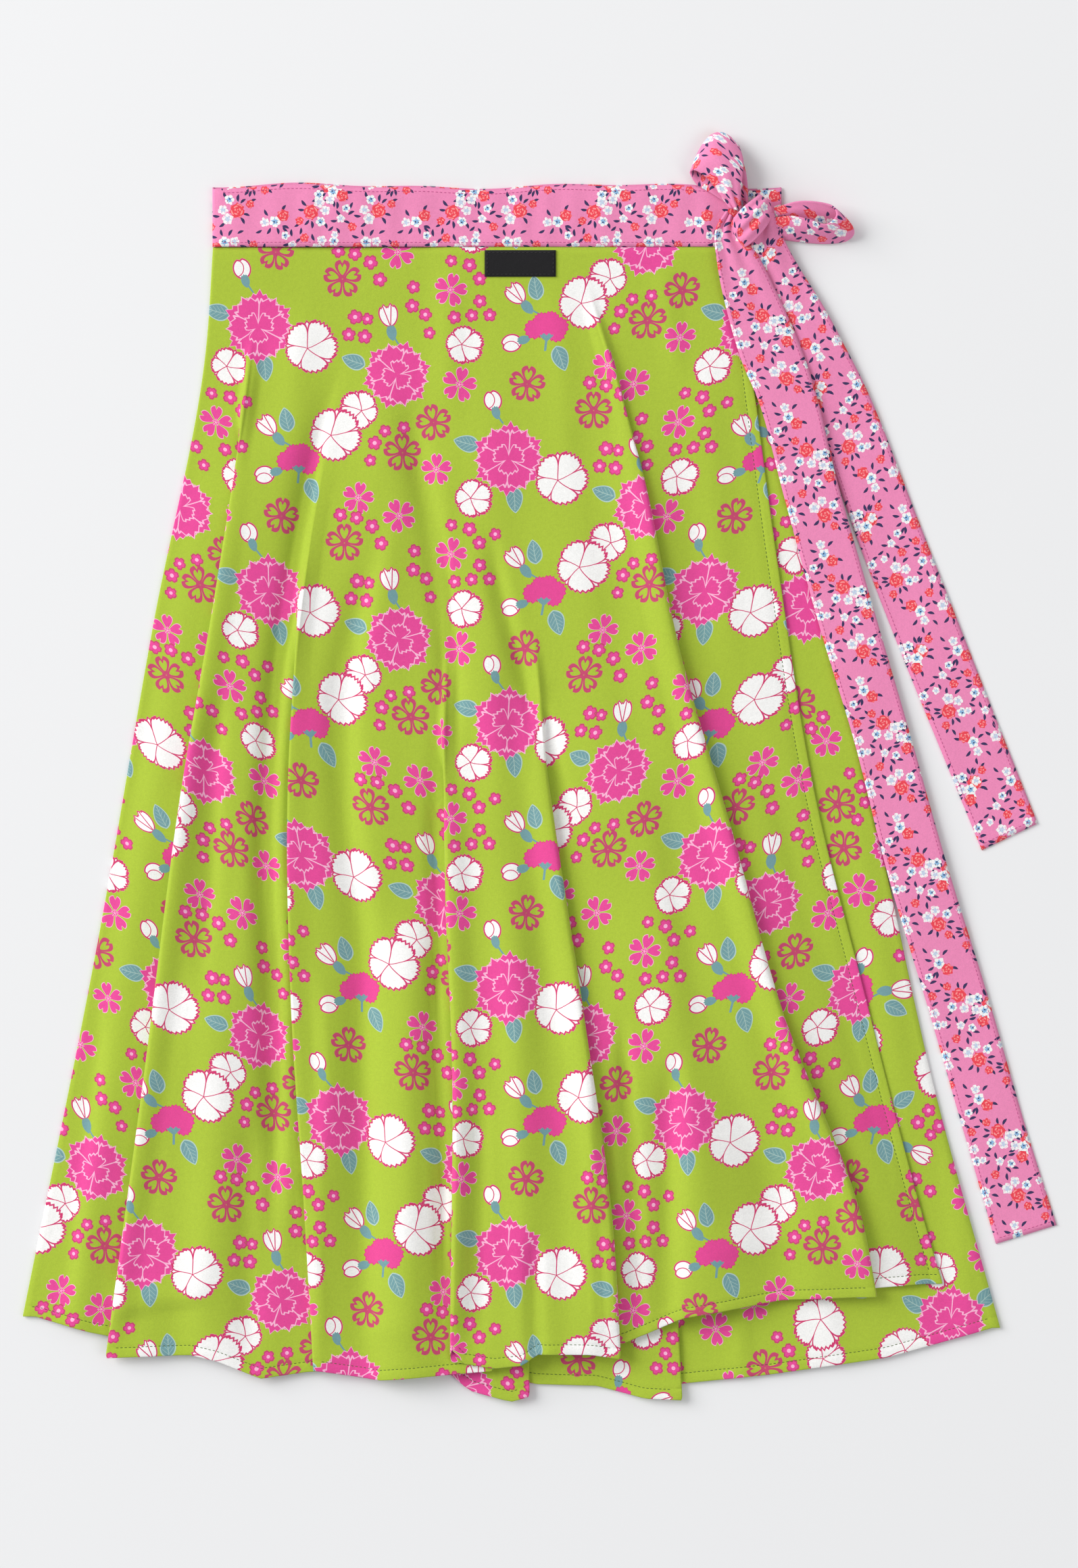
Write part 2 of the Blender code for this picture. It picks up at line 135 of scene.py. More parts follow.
# %% [markdown]
# ## The laid skirt in short tables
# The tables are the ones that the solids are made from. A line is how far across something lies at
# a few distances down, and a lapped fold is a line with a side: 1 where the cloth on the right lies
# over the left, and -1 where the left lies over the right.

# %% Driving sizes and lines
CLOTH = 1.0          # wall of one layer in the solid model
STRIP = 1.4          # wall of doubled cloth in the solid model
GAP = 0.3            # air between neighbouring pieces
PITCH = 1.4          # height from one layer to the next in a lapped fold
BAND_HEIGHT = 38.0
SEAM_TUCK = 14.0     # how far the side seams lie in from the folds, underneath
BAND_END = 129.0
WALL = 0.45          # the real cloth
DOUBLE_WALL = 0.95   # the real cloth folded double and pressed

BACK_LEVEL = CLOTH / 2
UNDER_LEVEL = BACK_LEVEL + PITCH
OVER_LEVEL = UNDER_LEVEL + PITCH
BAND_LEVELS = [STRIP / 2 + step * (STRIP + GAP) for step in range(3)]

LINES = {
    "left_fold": {"down": [0, 60, 240, 440, 690], "across": [-208, -212, -246, -281, -331]},
    "right_fold": {"down": [0, 100, 247, 396, 533, 686], "across": [153, 163, 188, 220, 250, 292]},
    "free_edge": {"down": [0, 98, 216, 350, 470, 612, 660],
                  "across": [125, 137, 153, 175, 205, 242, 256]},
    "under_edge": {"down": [0, 350, 700], "across": [-40, -58, -82]},
}
OVER_FOLDS = [
    {"side": 1, "starts": 50, "lapped": 150, "lap": 20, "roll": 2.3,
     "down": [0, 83, 212, 347, 531, 706], "across": [-178, -186, -205, -228, -252, -276]},
    {"side": 1, "starts": 120, "lapped": 320, "lap": 12, "roll": 1.6,
     "down": [0, 105, 190, 315, 483, 607, 714],
     "across": [-118, -132, -147, -159, -158, -150, -144]},
    {"side": 1, "starts": 250, "lapped": 370, "lap": 26, "roll": 2.8,
     "down": [0, 331, 414, 509, 699], "across": [-42, -61, -60, -56, -57]},
    {"side": -1, "starts": 240, "lapped": 350, "lap": 22, "roll": 3.0,
     "down": [0, 322, 484, 622, 706], "across": [-14, 3, 27, 46, 51]},
    {"side": -1, "starts": 20, "lapped": 130, "lap": 30, "roll": 3.2,
     "down": [0, 144, 255, 366, 484, 622, 664], "across": [22, 65, 88, 120, 153, 205, 213]},
]
UNDER_FOLDS = [
    {"side": -1, "starts": 520, "lapped": 640, "lap": 16, "roll": 0.9,
     "down": [0, 500, 734], "across": [-12, -9, -7]},
    {"side": -1, "starts": 500, "lapped": 620, "lap": 14, "roll": 0.9,
     "down": [0, 500, 730], "across": [45, 78, 90]},
]
OVER_HEM = [
    {"across": [-327, -299, -276], "down": [680, 690, 696]},
    {"across": [-276, -227, -211, -186, -159, -144], "down": [706, 704, 708, 719, 715, 714]},
    {"across": [-144, -113, -58], "down": [714, 720, 714]},
    {"across": [-58, -49, -30, -12, -2, 33, 51], "down": [699, 709, 712, 710, 703, 703, 706]},
    {"across": [51, 71, 108, 166, 213], "down": [692, 697, 680, 669, 667]},
    {"across": [213, 256], "down": [665, 659]},
]
UNDER_HEM = [
    {"across": [-82, -58, -44, -18, -7], "down": [704, 715, 727, 734, 731]},
    {"across": [-7, 10, 43, 69, 90], "down": [719, 723, 724, 732, 733]},
    {"across": [90, 152, 224, 292], "down": [724, 717, 706, 687]},
]
BACK_HEM = {"across": [-314, -60, 278], "down": [668, 700, 676]}
OVER_ARCH = [3.6, 5.0, 4.6, 5.0, 4.6, 2.4]
LOFT = 3.2
UNDER_ARCH = [0.4, 0.4, 1.5]


def smooth(at, stations, values):
    """The value at each place, on a smooth curve through a short table."""
    s, v = np.asarray(stations, float), np.asarray(values, float)
    slope = np.gradient(v, s)
    i = np.clip(np.searchsorted(s, at) - 1, 0, len(s) - 2)
    step = s[i + 1] - s[i]
    t = (np.asarray(at, float) - s[i]) / step
    start = (1 + 2 * t) * (1 - t) ** 2 * v[i] + t * (1 - t) ** 2 * step * slope[i]
    return start + t * t * (3 - 2 * t) * v[i + 1] + t * t * (t - 1) * step * slope[i + 1]


def across(line, down):
    return smooth(down, line["down"], line["across"])


def rise(value, low, high):
    """0 below low, 1 above high and a soft step between."""
    t = np.clip((np.asarray(value, float) - low) / (high - low), 0, 1)
    return t * t * (3 - 2 * t)


for name, line in LINES.items():
    print(name, "at the waist", line["across"][0], "at the hem", line["across"][-1])

# %% [markdown]
# ## Lapped folds
# A flared skirt lies in folds because its hem is much wider than its waist. In section a lapped fold
# is an S: the cloth runs under, turns back tightly, and rolls over into the upper layer. Near its
# start it is only a ridge. The S is read here at fifteen places, where the solid has nine, so the
# roll is round and catches the light as cloth does.

# %% The section of a fold
TURN = np.array([0, 1, 2, 3, 3.3, 3.65, 4, 4.5, 5, 5.5, 6, 6.5, 7, 7.5, 8])
TIGHT_END, ROLL_START = 3, 4
RIDGE = {"across": [-6.0, -4.5, -3.2, -2.2, -1.5, -0.8, 0.0, 0.8, 1.5],
         "height": [0.0, 0.3, 1.2, 2.3, 3.2, 4.0, 4.3, 4.0, 3.2]}
LEAST_LAP = 6.0


def lap_at(fold, down):
    """Width, roll radius and how far the fold has risen and turned over, at places down."""
    middle = (fold["starts"] + fold["lapped"]) / 2
    grown = np.clip((down - fold["starts"]) / (max(fold["down"]) - fold["starts"]), 0, 1)
    width = LEAST_LAP + (fold["lap"] - LEAST_LAP) * grown
    pressed = 1 - 0.8 * rise(down, max(fold["down"]) - 32, max(fold["down"]) - 4)
    roll = np.minimum(PITCH / 2 + (fold["roll"] - PITCH / 2) * rise(grown, 0, 0.4) * pressed, width / 3)
    risen = rise(down, fold["starts"], middle)
    return width, roll, risen, rise(down, middle, fold["lapped"])


def fold_points(fold, down):
    """Across and height of each point of a fold, over the cloth that it lies on. down has one
    column for each point, in the order that the cloth runs from left to right."""
    at = TURN[:: fold["side"]][None, :]
    width, roll, risen, turned = lap_at(fold, down)
    tight = np.radians(60 * np.clip(at, 0, TIGHT_END) - 90)
    rolled = np.radians(45 * (np.clip(at, ROLL_START, 8) - ROLL_START) - 90)
    between = np.clip(at - TIGHT_END, 0, 1)
    x = np.where(at < TIGHT_END, width + PITCH / 2 * np.cos(tight),
                 np.where(at > ROLL_START, roll * (1 - np.cos(rolled)), width + (roll - width) * between))
    z = np.where(at < TIGHT_END, PITCH / 2 * (1 + np.sin(tight)),
                 np.where(at > ROLL_START, PITCH + roll * (1 + np.sin(rolled)), PITCH))
    ridge_x, ridge_z = (np.interp(at, range(9), RIDGE[key]) for key in ("across", "height"))
    xs = fold["side"] * ((1 - turned) * ridge_x + turned * x)
    return across(fold, down) + xs, risen * ((1 - turned) * ridge_z + turned * z)


def cover(fold, distance, down):
    """How far the upper layer is lifted over a fold, at a distance from its visible edge."""
    width, roll, risen, turned = lap_at(fold, down)
    ridge = RIDGE["height"][-1] * (1 - rise(distance, RIDGE["across"][-1], 9))
    held = 2 * PITCH * (1 - rise(distance, width + 5, width + 30))
    rolled = (2 * roll - PITCH) * (1 - rise(distance, roll, 3 * roll + 10))
    return risen * ((1 - turned) * ridge + turned * (held + rolled))


def span_end(line, down, side):
    """Where a stretch of cloth meets a fold, or the line itself where there is none."""
    edge = across(line, down)
    if "side" not in line:
        return edge
    width, roll, _, turned = lap_at(line, down)
    if line["side"] == side:
        reach = (1 - turned) * RIDGE["across"][0] + turned * width
    else:
        reach = (1 - turned) * RIDGE["across"][-1] + turned * roll
    return edge + line["side"] * reach


print("folds in the over-wrap", len(OVER_FOLDS), "in the under-wrap", len(UNDER_FOLDS))

# %% [markdown]
# ## Heights: arches, creases and ripples
# Between two folds the cloth stands in a soft arch, and it stands off what it lies on. On top of
# that go listed creases and faint ripples. A crease lowers the cloth no further than the
# arch has raised it, so the layers never pass through each other.

# %% Creases and ripples
# Each is a line down the cloth, with how far it spreads to its left and to its right. A height
# below zero is a trough. A spread of 2 or 3 mm on one side makes a sharp step.
OVER_CREASES = [
    {"down": [60, 144, 201, 270, 316, 360, 480, 537, 640],
     "across": [-124, -146, -154, -166, -171, -173, -170, -168, -173], "spread": (8, 5), "height": -4.4},
    {"down": [230, 300, 400, 520, 640], "across": [-153, -164, -164, -161, -159],
     "spread": (5, 4), "height": 1.0},
    {"down": [130, 201, 236, 293, 359, 447, 612, 690],
     "across": [-95, -107, -116, -125, -122, -113, -110, -108], "spread": (11, 7), "height": -3.6},
    {"down": [300, 414, 510, 600, 690], "across": [-67, -66, -65, -62, -62],
     "spread": (4, 3), "height": -3.4},
    {"down": [90, 135, 200, 281, 331], "across": [-86, -76, -65, -55, -58],
     "spread": (9, 6), "height": -3.0},
    {"down": [170, 242, 322, 360], "across": [-34, -20, 8, 16], "spread": (7, 5), "height": -2.6},
    {"down": [440, 500, 594, 714], "across": [-145, -139, -141, -143], "spread": (2, 14), "height": 2.0},
    {"down": [520, 571, 630, 706], "across": [30, 33, 34, 36], "spread": (14, 2), "height": 2.4},
    {"down": [480, 560, 640, 700], "across": [51, 57, 60, 63], "spread": (5, 3), "height": -3.6},
    {"down": [620, 680, 719], "across": [-3, -3, -2], "spread": (5, 4), "height": -2.4},
    {"down": [500, 600, 690], "across": [85, 82, 82], "spread": (10, 6), "height": -4.0},
    {"down": [470, 571, 690], "across": [-281, -295, -306], "spread": (11, 8), "height": -3.2},
    {"down": [270, 330, 390, 460], "across": [-202, -207, -210, -215], "spread": (9, 6), "height": -2.4},
    {"down": [290, 400, 505, 600], "across": [132, 167, 202, 222], "spread": (11, 9), "height": -1.6},
    {"down": [60, 140, 250], "across": [-96, -98, -104], "spread": (16, 14), "height": 1.3},
    {"down": [30, 110, 190], "across": [-150, -158, -168], "spread": (12, 12), "height": 1.2},
    {"down": [440, 560, 700], "across": [-205, -210, -216], "spread": (14, 14), "height": 2.4},
    {"down": [540, 620, 712], "across": [-184, -185, -186], "spread": (9, 8), "height": -2.2},
    {"down": [400, 560, 706], "across": [-84, -84, -82], "spread": (15, 10), "height": 2.2},
    {"down": [520, 620, 706], "across": [-40, -41, -43], "spread": (8, 7), "height": -2.2},
    {"down": [380, 540, 700], "across": [-18, -14, -12], "spread": (13, 12), "height": 2.0},
    {"down": [300, 460, 640], "across": [64, 82, 104], "spread": (14, 12), "height": 1.6},
    {"down": [6, 40, 80], "across": [78, 82, 88], "spread": (6, 6), "height": 0.9},
    {"down": [90, 170, 260], "across": [34, 46, 60], "spread": (14, 12), "height": -1.4},
    {"down": [60, 160, 280], "across": [104, 110, 120], "spread": (11, 10), "height": 1.0},
    {"down": [430, 540, 650], "across": [150, 166, 184], "spread": (13, 12), "height": 1.4},
    {"down": [20, 70, 140], "across": [8, 13, 20], "spread": (10, 10), "height": 0.8},
    {"down": [8, 50, 100], "across": [-58, -59, -60], "spread": (9, 9), "height": 0.8},
]
# These run across the cloth instead, close to the hem, where it sags between two folds.
LEVEL_CREASES = [
    {"across": [-276, -258, -232, -212], "down": [675, 674, 670, 667], "spread": (14, 3), "height": 1.8},
    {"across": [-112, -95, -76], "down": [690, 686, 688], "spread": (10, 8), "height": 0.9},
    {"across": [96, 130, 168, 200], "down": [640, 634, 628, 626], "spread": (16, 10), "height": 0.9},
]
UNDER_CREASES = [
    {"down": [330, 440, 560], "across": [196, 214, 236], "spread": (9, 9), "height": 0.9},
    {"down": [560, 630, 700], "across": [262, 268, 273], "spread": (8, 8), "height": 1.0},
    {"down": [610, 670, 722], "across": [124, 127, 130], "spread": (7, 4), "height": 1.3},
    {"down": [600, 660, 712], "across": [176, 182, 188], "spread": (9, 9), "height": 1.0},
    {"down": [640, 680, 724], "across": [24, 25, 26], "spread": (7, 7), "height": 0.8},
    {"down": [650, 690, 726], "across": [-40, -40, -40], "spread": (7, 7), "height": 0.8},
]


RELIEF = 1.40        # the whole crease table's strength


def creases(table, x, down, across_key="across", down_key="down"):
    """The height of all the creases at places on the cloth. Each fades out at both its ends."""
    total = np.zeros_like(x)
    for crease in table:
        first, last = crease[down_key][0], crease[down_key][-1]
        fade = (last - first) / 4
        at = np.clip(down, first, last)
        beside = x - smooth(at, crease[down_key], crease[across_key]) + 0.6 * np.sin(down / 23 + first)
        spread = np.where(beside < 0, *crease["spread"])
        present = rise(down, first, first + fade) * (1 - rise(down, last - fade, last + fade / 2))
        total += RELIEF * crease["height"] * present * np.exp(-((beside / spread) ** 2))
    return total


def ripples(x, down):
    """Faint unevenness, stronger towards the hem where the cloth lies loose."""
    slow = np.sin(x / 17 + down / 43) * np.sin(down / 61 - x / 90)
    quick = np.sin(x / 7.3 - down / 29 + 1.3) * np.sin(down / 23 + x / 37)
    slack = rise(down, 30, 420)
    return (0.25 + 0.40 * slack) * slow + (0.08 + 0.10 * slack) * quick


def lapped_width(line, down, side):
    """How much of the cloth beside a line lies over a fold's hidden layers."""
    if line.get("side") != side:
        return 0.0
    width, _, risen, _ = lap_at(line, down)
    return (width + 6.0) * risen


def arches(x, down, edges, heights):
    """The soft arch between each line and the next, growing from the waist to the hem."""
    total = np.zeros_like(x)
    for left, right, height in zip(edges[:-1], edges[1:], heights):
        low = across(left, down) + lapped_width(left, down, 1)
        high = across(right, down) - lapped_width(right, down, -1)
        part = np.clip((x - low) / (high - low), 0, 1)
        total += height * rise(down, 20, 560) * np.sin(np.pi * part) ** 2
    return total


def loft(x, down):
    """How far the cloth stands off what it lies on, away from its edges and from the ties."""
    from_left = rise(x - across(LINES["left_fold"], down), 4, 46)
    from_right = 1 - rise(x - across(OVER_FOLDS[-1], down), -8, 30)
    return LOFT * from_left * from_right * rise(down, 30, 170) * (1 - 0.55 * rise(down, 620, 710))


def under_height(x, down):
    edges = [LINES["under_edge"], *UNDER_FOLDS, LINES["right_fold"]]
    return UNDER_LEVEL + arches(x, down, edges, UNDER_ARCH)


def under_surface(x, down):
    shows = rise(x, 60, 110) + rise(down, 640, 690) * (1 - rise(x, 60, 110))
    relief = shows * (creases(UNDER_CREASES, x, down) + 0.5 * ripples(x, down))
    return under_height(x, down) + np.maximum(relief, -0.8)


def over_surface(x, down):
    """The over-wrap lies on the back on the left, on the under-wrap on the right, and rises to
    the band's upper layer at its top."""
    edges = [LINES["left_fold"], *OVER_FOLDS, LINES["free_edge"]]
    on_under = rise(x - across(LINES["under_edge"], down), -35, -8)
    below = on_under * (under_height(x, down) - UNDER_LEVEL + PITCH)
    hidden = 4.8 * rise(down, 400, 545) * rise(x, -118, -62) * (1 - rise(x, 100, 150))
    band = (BAND_LEVELS[2] - OVER_LEVEL) * (1 - rise(down, 0, 45))
    stand = arches(x, down, edges, OVER_ARCH) + loft(x, down)
    relief = creases(OVER_CREASES, x, down) + ripples(x, down)
    relief += creases(LEVEL_CREASES, down, x, "down", "across")
    return UNDER_LEVEL + below + hidden + band + stand + np.maximum(relief, -0.25 - 0.85 * stand)


print("creases", len(OVER_CREASES), "on the over-wrap and", len(UNDER_CREASES), "on the under-wrap")

# %% [markdown]
# ## Panels as grids of points
# Each panel is one grid. Its columns follow the cloth from left to right, through every fold, and its
# rows run from the waist to the hem, closer together in the last few millimetres, where the hem is
# turned up. The hem is three layers thick, so its strip stands a little higher than the cloth, with
# a groove where the stitching pulls it down.

# %% Hem steps and rows
HEM_STEPS = np.array([7.6, 6.9, 6.3, 5.2, 3.4, 1.6, 0.5, 0.0])
HEM_PROFILE = {"inside": [0, 0.5, 1.6, 5.2, 6.3, 6.9, 7.6, 9.5],
               "height": [0.1, 0.3, 0.38, 0.34, 0.0, -0.05, 0.12, 0.0]}
PLAIN_TO = 9.5       # where the panel's even steps end, before the hem's own
HEM_DOWN = 700.0


def hem_height(inside):
    return np.interp(inside, HEM_PROFILE["inside"], HEM_PROFILE["height"])


def row_shares(rows):
    """Each row's share of the way from waist to hem."""
    return np.concatenate([np.linspace(0, 1 - PLAIN_TO / HEM_DOWN, rows), 1 - HEM_STEPS / HEM_DOWN])[:, None]


def hem_at(table, x):
    return np.interp(x, table["across"], table["down"])


def panel_points(folds, hems, start, end, surface, counts, shares):
    """Across, down and height of a front panel's grid, and which columns lie open to view."""
    hem_row = np.full((1, 1), HEM_DOWN)
    columns, shown = [], []
    before = (start, None)
    for number, count in enumerate(counts):
        fold = folds[number] if number < len(folds) else None
        part = (np.arange(count) + 1) / (count + 1)
        left, right = before[0], fold or end
        hem_x = across(left, hem_row) * (1 - part) + across(right, hem_row) * part
        down = GAP / 2 + shares * (hem_at(hems[number], hem_x[0])[None, :] - GAP / 2)
        low, high = span_end(left, down, -1), span_end(right, down, 1)
        x = low * (1 - part) + high * part
        z = np.zeros_like(x)
        if before[1] is not None and before[1]["side"] > 0:
            z += cover(before[1], x - across(left, down), down)
        if fold is not None and fold["side"] < 0:
            z += cover(fold, across(right, down) - x, down)
        columns.append((x, down, z))
        shown += [True] * count
        if fold is not None:
            ends = np.array([hem_at(hems[number], fold["across"][-1]),
                             hem_at(hems[number + 1], fold["across"][-1])])
            hem = np.interp(np.linspace(0, 1, len(TURN)), [0, 1], ends)
            down = GAP / 2 + shares * (hem[None, :] - GAP / 2)
            x, z = fold_points(fold, down)
            columns.append((x, down, z))
            shown += [False] * len(TURN)
            before = (fold, fold)
    x, down, z = (np.concatenate([c[i] for c in columns], axis=1) for i in range(3))
    return x, down, z + surface(x, down), np.array(shown)


def turn_under(x, down, z, shown, outer, side):
    """Adds the turn at one side and the strip that lies underneath, up to the side seam."""
    top = z[:, :1] if side < 0 else z[:, -1:]
    d = down[:, :1] if side < 0 else down[:, -1:]
    radius = (top - BACK_LEVEL) / 2
    edge = across(outer, d)
    angles = np.radians(np.linspace(-90, 60, 7))[None, :]
    turn_x = edge - side * radius * (1 - np.cos(angles))
    turn_z = BACK_LEVEL + radius * (1 + np.sin(angles))
    under_x = edge - side * np.linspace(SEAM_TUCK, 4, 4)[None, :]
    new_x = np.concatenate([under_x, turn_x], axis=1)
    new_z = np.concatenate([np.full_like(under_x, BACK_LEVEL), turn_z], axis=1)
    new = [new_x, np.repeat(d, new_x.shape[1], axis=1), new_z]
    hidden = np.zeros(new_x.shape[1], bool)
    if side > 0:
        joined = [np.hstack([old, extra[:, ::-1]]) for old, extra in zip((x, down, z), new)]
        return *joined, np.concatenate([shown, hidden])
    joined = (np.hstack([extra, old]) for old, extra in zip((x, down, z), new))
    return *joined, np.concatenate([hidden, shown])


# %% The three panels' points
def over_points():
    shares = row_shares(168)
    edge_line = LINES["free_edge"]
    inner_line = {"down": edge_line["down"], "across": [at - PLAIN_TO for at in edge_line["across"]]}
    counts = (18, 34, 26, 26, 43, 17)
    x, down, z, shown = panel_points(
        OVER_FOLDS, OVER_HEM, LINES["left_fold"], inner_line, over_surface, counts, shares)
    strip_down = np.repeat(down[:, -1:], len(HEM_STEPS), axis=1)
    strip_x = across(edge_line, strip_down) - HEM_STEPS[None, :]
    strip_z = over_surface(strip_x, strip_down) + hem_height(HEM_STEPS)[None, :]
    x, down, z = (np.hstack(pair) for pair in ((x, strip_x), (down, strip_down), (z, strip_z)))
    z[-len(HEM_STEPS):] += hem_height(HEM_STEPS)[:, None]
    return turn_under(x, down, z, np.concatenate([shown, np.ones(len(HEM_STEPS), bool)]),
                      LINES["left_fold"], -1)


def under_points():
    x, down, z, shown = panel_points(
        UNDER_FOLDS, UNDER_HEM, LINES["under_edge"], LINES["right_fold"], under_surface,
        (14, 26, 44), row_shares(160))
    z[-len(HEM_STEPS):] += hem_height(HEM_STEPS)[:, None]
    return turn_under(x, down, z, shown, LINES["right_fold"], 1)


def back_points(columns=110):
    share = np.linspace(0, 1, columns)[None, :]
    hem_x = np.interp(share, [0, 1], [BACK_HEM["across"][0], BACK_HEM["across"][-1]])
    hem = smooth(hem_x, BACK_HEM["across"], BACK_HEM["down"])
    down = GAP / 2 + row_shares(130) * (hem - GAP / 2)
    inset = SEAM_TUCK + 4 * GAP
    low, high = across(LINES["left_fold"], down) + inset, across(LINES["right_fold"], down) - inset
    x = low * (1 - share) + high * share
    lift = 0.15 * (ripples(x, down) + 0.6)
    return x, down, BACK_LEVEL - CLOTH / 4 + lift, np.ones(columns, bool)


PANEL_POINTS = {"over": over_points(), "under": under_points(), "back": back_points()}
for name, (x, down, z, shown) in PANEL_POINTS.items():
    print(name, x.shape, "height", z.min().round(2), "to", z.max().round(2), "mm")

# %% [markdown]
# ## From points to cloth
# create_grid makes the faces, and each vertex then moves onto its point. The grid also keeps where
# each vertex lies on the flat cloth before it was folded: its distance along the row, taken through
# every fold, and its distance down. A print placed by those is cut off and hidden by folds as a
# real one is, and the weave runs straight along the cloth. Solidify then gives the wall.

# %% Making a cloth grid
def lengths(*axes):
    """Distance along each row, from its first point."""
    step = np.sqrt(sum(np.diff(a, axis=1) ** 2 for a in axes))
    return np.hstack([np.zeros((len(step), 1)), np.cumsum(step, axis=1)])


def cloth_grid(name, x, down, z, flat_u, flat_v):
    """The mesh of a grid of points, and each vertex's place on the flat cloth."""
    rows, columns = x.shape
    grid = bmesh.new()
    bmesh.ops.create_grid(grid, x_segments=columns - 1, y_segments=rows - 1, size=1)
    row = np.array([round((1 - vert.co.y) / 2 * (rows - 1)) for vert in grid.verts])
    column = np.array([round((vert.co.x + 1) / 2 * (columns - 1)) for vert in grid.verts])
    places = zip(*in_frame(x[row, column], down[row, column], z[row, column]))
    for vert, place in zip(grid.verts, places):
        vert.co = place
    mesh = bpy.data.meshes.new(name)
    grid.to_mesh(mesh)
    grid.free()
    mesh.shade_smooth()
    flat = np.stack([flat_u[row, column], flat_v[row, column]], axis=1)
    thread = mesh.attributes.new("thread", "FLOAT_VECTOR", "POINT")
    thread.data.foreach_set("vector", np.column_stack([flat, np.zeros(len(flat))]).ravel())
    return mesh, flat


def cloth_object(name, mesh, wall, finish):
    mesh.materials.append(finish)
    made = bpy.data.objects.new(name, mesh)
    bpy.context.scene.collection.objects.link(made)
    solid = made.modifiers.new("wall", "SOLIDIFY")
    solid.thickness = wall * MM
    solid.offset = 0
    solid.use_even_offset = False
    area = sum(face.area for face in mesh.polygons)
    lowest = min(vert.co.z for vert in mesh.vertices) / MM
    print(name, len(mesh.polygons), "faces, area", round(area, 5), "m2, lowest", round(lowest, 2), "mm")
    return made


# %% [markdown]
# ## How a print is laid on
# A printed cloth repeats one block of motifs. Each motif is stamped on the faces that it reaches: a
# stamped face keeps, for each of its corners, where the corner lies within the motif. The material
# reads that and draws the motif with arithmetic, so its outline is sharp at any distance. A face
# that two motifs reach keeps both, in numbered slots, and the later one is drawn on top.

# %% Stamping a design on a mesh
# Each kind of motif has the family that draws it and its number in that family.
KINDS = {"leaf": ("leaf", 1), "bud": ("leaf", 2), "opening_bud": ("leaf", 3),
         "dahlia": ("dahlia", 1), "carnation": ("dahlia", 2), "blossom": ("blossom", 1),
         "outlined_cherry": ("small", 1), "cherry": ("small", 2), "floret": ("small", 3),
         "sprig_leaf": ("sprig", 1), "rose": ("posy", 1), "white_posy": ("posy", 2),
         "blue_posy": ("posy", 3)}
REACH = {"leaf": 1.05, "dahlia": 1.3, "blossom": 1.06, "small": 1.06, "sprig": 1.05, "posy": 1.08}
SLOTS = {"leaf": 2, "dahlia": 1, "blossom": 2, "small": 4, "sprig": 4, "posy": 4}
KIND_STEP = 100      # a stamp's code is 100 times its kind plus its size in millimetres


def stamps(design, low, high):
    """Every motif of a repeating design between two corners of the flat cloth."""
    side, drop = np.array(design["side"]), np.array(design["drop"])
    block = 200
    for i in range(-12, 13):
        for j in range(-12, 13):
            base = i * side + j * drop
            if np.all(base > low - block) and np.all(base < high + block):
                for kind, right, down, turn, size in design["motifs"]:
                    yield kind, base[0] + right, base[1] + down, math.radians(turn), size


def print_on(mesh, flat, design, shift=(0, 0), turn=0.0):
    """Stamps a design on a mesh of four-sided faces. shift and turn place the pattern's block."""
    corner = np.empty(len(mesh.loops), np.int32)
    mesh.loops.foreach_get("vertex_index", corner)
    cos, sin = math.cos(math.radians(turn)), math.sin(math.radians(turn))
    placed = flat @ np.array([[cos, -sin], [sin, cos]]) + np.array(shift)
    corners = placed[corner].reshape(-1, 4, 2)
    middle = corners.mean(axis=1)
    half = np.linalg.norm(corners - middle[:, None], axis=2).max(axis=1)
    families = sorted({KINDS[motif[0]][0] for motif in design["motifs"]})
    used = {family: np.zeros(len(middle), int) for family in families}
    stamped = {(family, slot): np.full((len(middle), 4, 3), (1000.0, 1000.0, 0.0))
               for family in families for slot in range(SLOTS[family])}
    for kind, right, down, angle, size in stamps(design, middle.min(axis=0), middle.max(axis=0)):
        family, number = KINDS[kind]
        apart = (middle[:, 0] - right) ** 2 + (middle[:, 1] - down) ** 2
        near = np.nonzero(apart < (size * REACH[family] + half) ** 2)[0]
        for slot in range(SLOTS[family] if len(near) else 0):
            chosen = near[used[family][near] == slot]
            out = corners[chosen] - (right, down)
            turned = np.stack([out[..., 0] * math.cos(angle) + out[..., 1] * math.sin(angle),
                               out[..., 1] * math.cos(angle) - out[..., 0] * math.sin(angle),
                               np.full(out.shape[:2], KIND_STEP * number + size)], axis=2)
            stamped[family, slot][chosen] = turned
        used[family][near] += 1
    for (family, slot), values in stamped.items():
        layer = mesh.attributes.new(f"{family}_{slot}", "FLOAT_VECTOR", "CORNER")
        layer.data.foreach_set("vector", values.ravel())
    lost = {family: int((count > SLOTS[family]).sum()) for family, count in used.items()}
    print(mesh.name, "faces with more motifs than slots", lost)


# %% [markdown]
# ## Arithmetic in a material
# A material's Math nodes are tedious to place by hand. Here a Field stands for one number that
# varies over the surface, and writing a sum or a product of fields adds the node that works it out.
# Distances are millimetres on the cloth, above zero inside a shape, so soft() turns a distance
# into a mask with a clean edge.

# %% Fields
class Field:
    """A number that varies over the surface: the output socket of a node."""

    def __init__(self, socket):
        self.socket = socket

    def __add__(self, other):
        return calc("ADD", self, other)

    def __sub__(self, other):
        return calc("SUBTRACT", self, other)

    def __rsub__(self, other):
        return calc("SUBTRACT", other, self)

    def __mul__(self, other):
        return calc("MULTIPLY", self, other)

    def __truediv__(self, other):
        return calc("DIVIDE", self, other)

    def __abs__(self):
        return calc("ABSOLUTE", self)

    def __pow__(self, other):
        return calc("POWER", self, other)

    __radd__ = __add__
    __rmul__ = __mul__


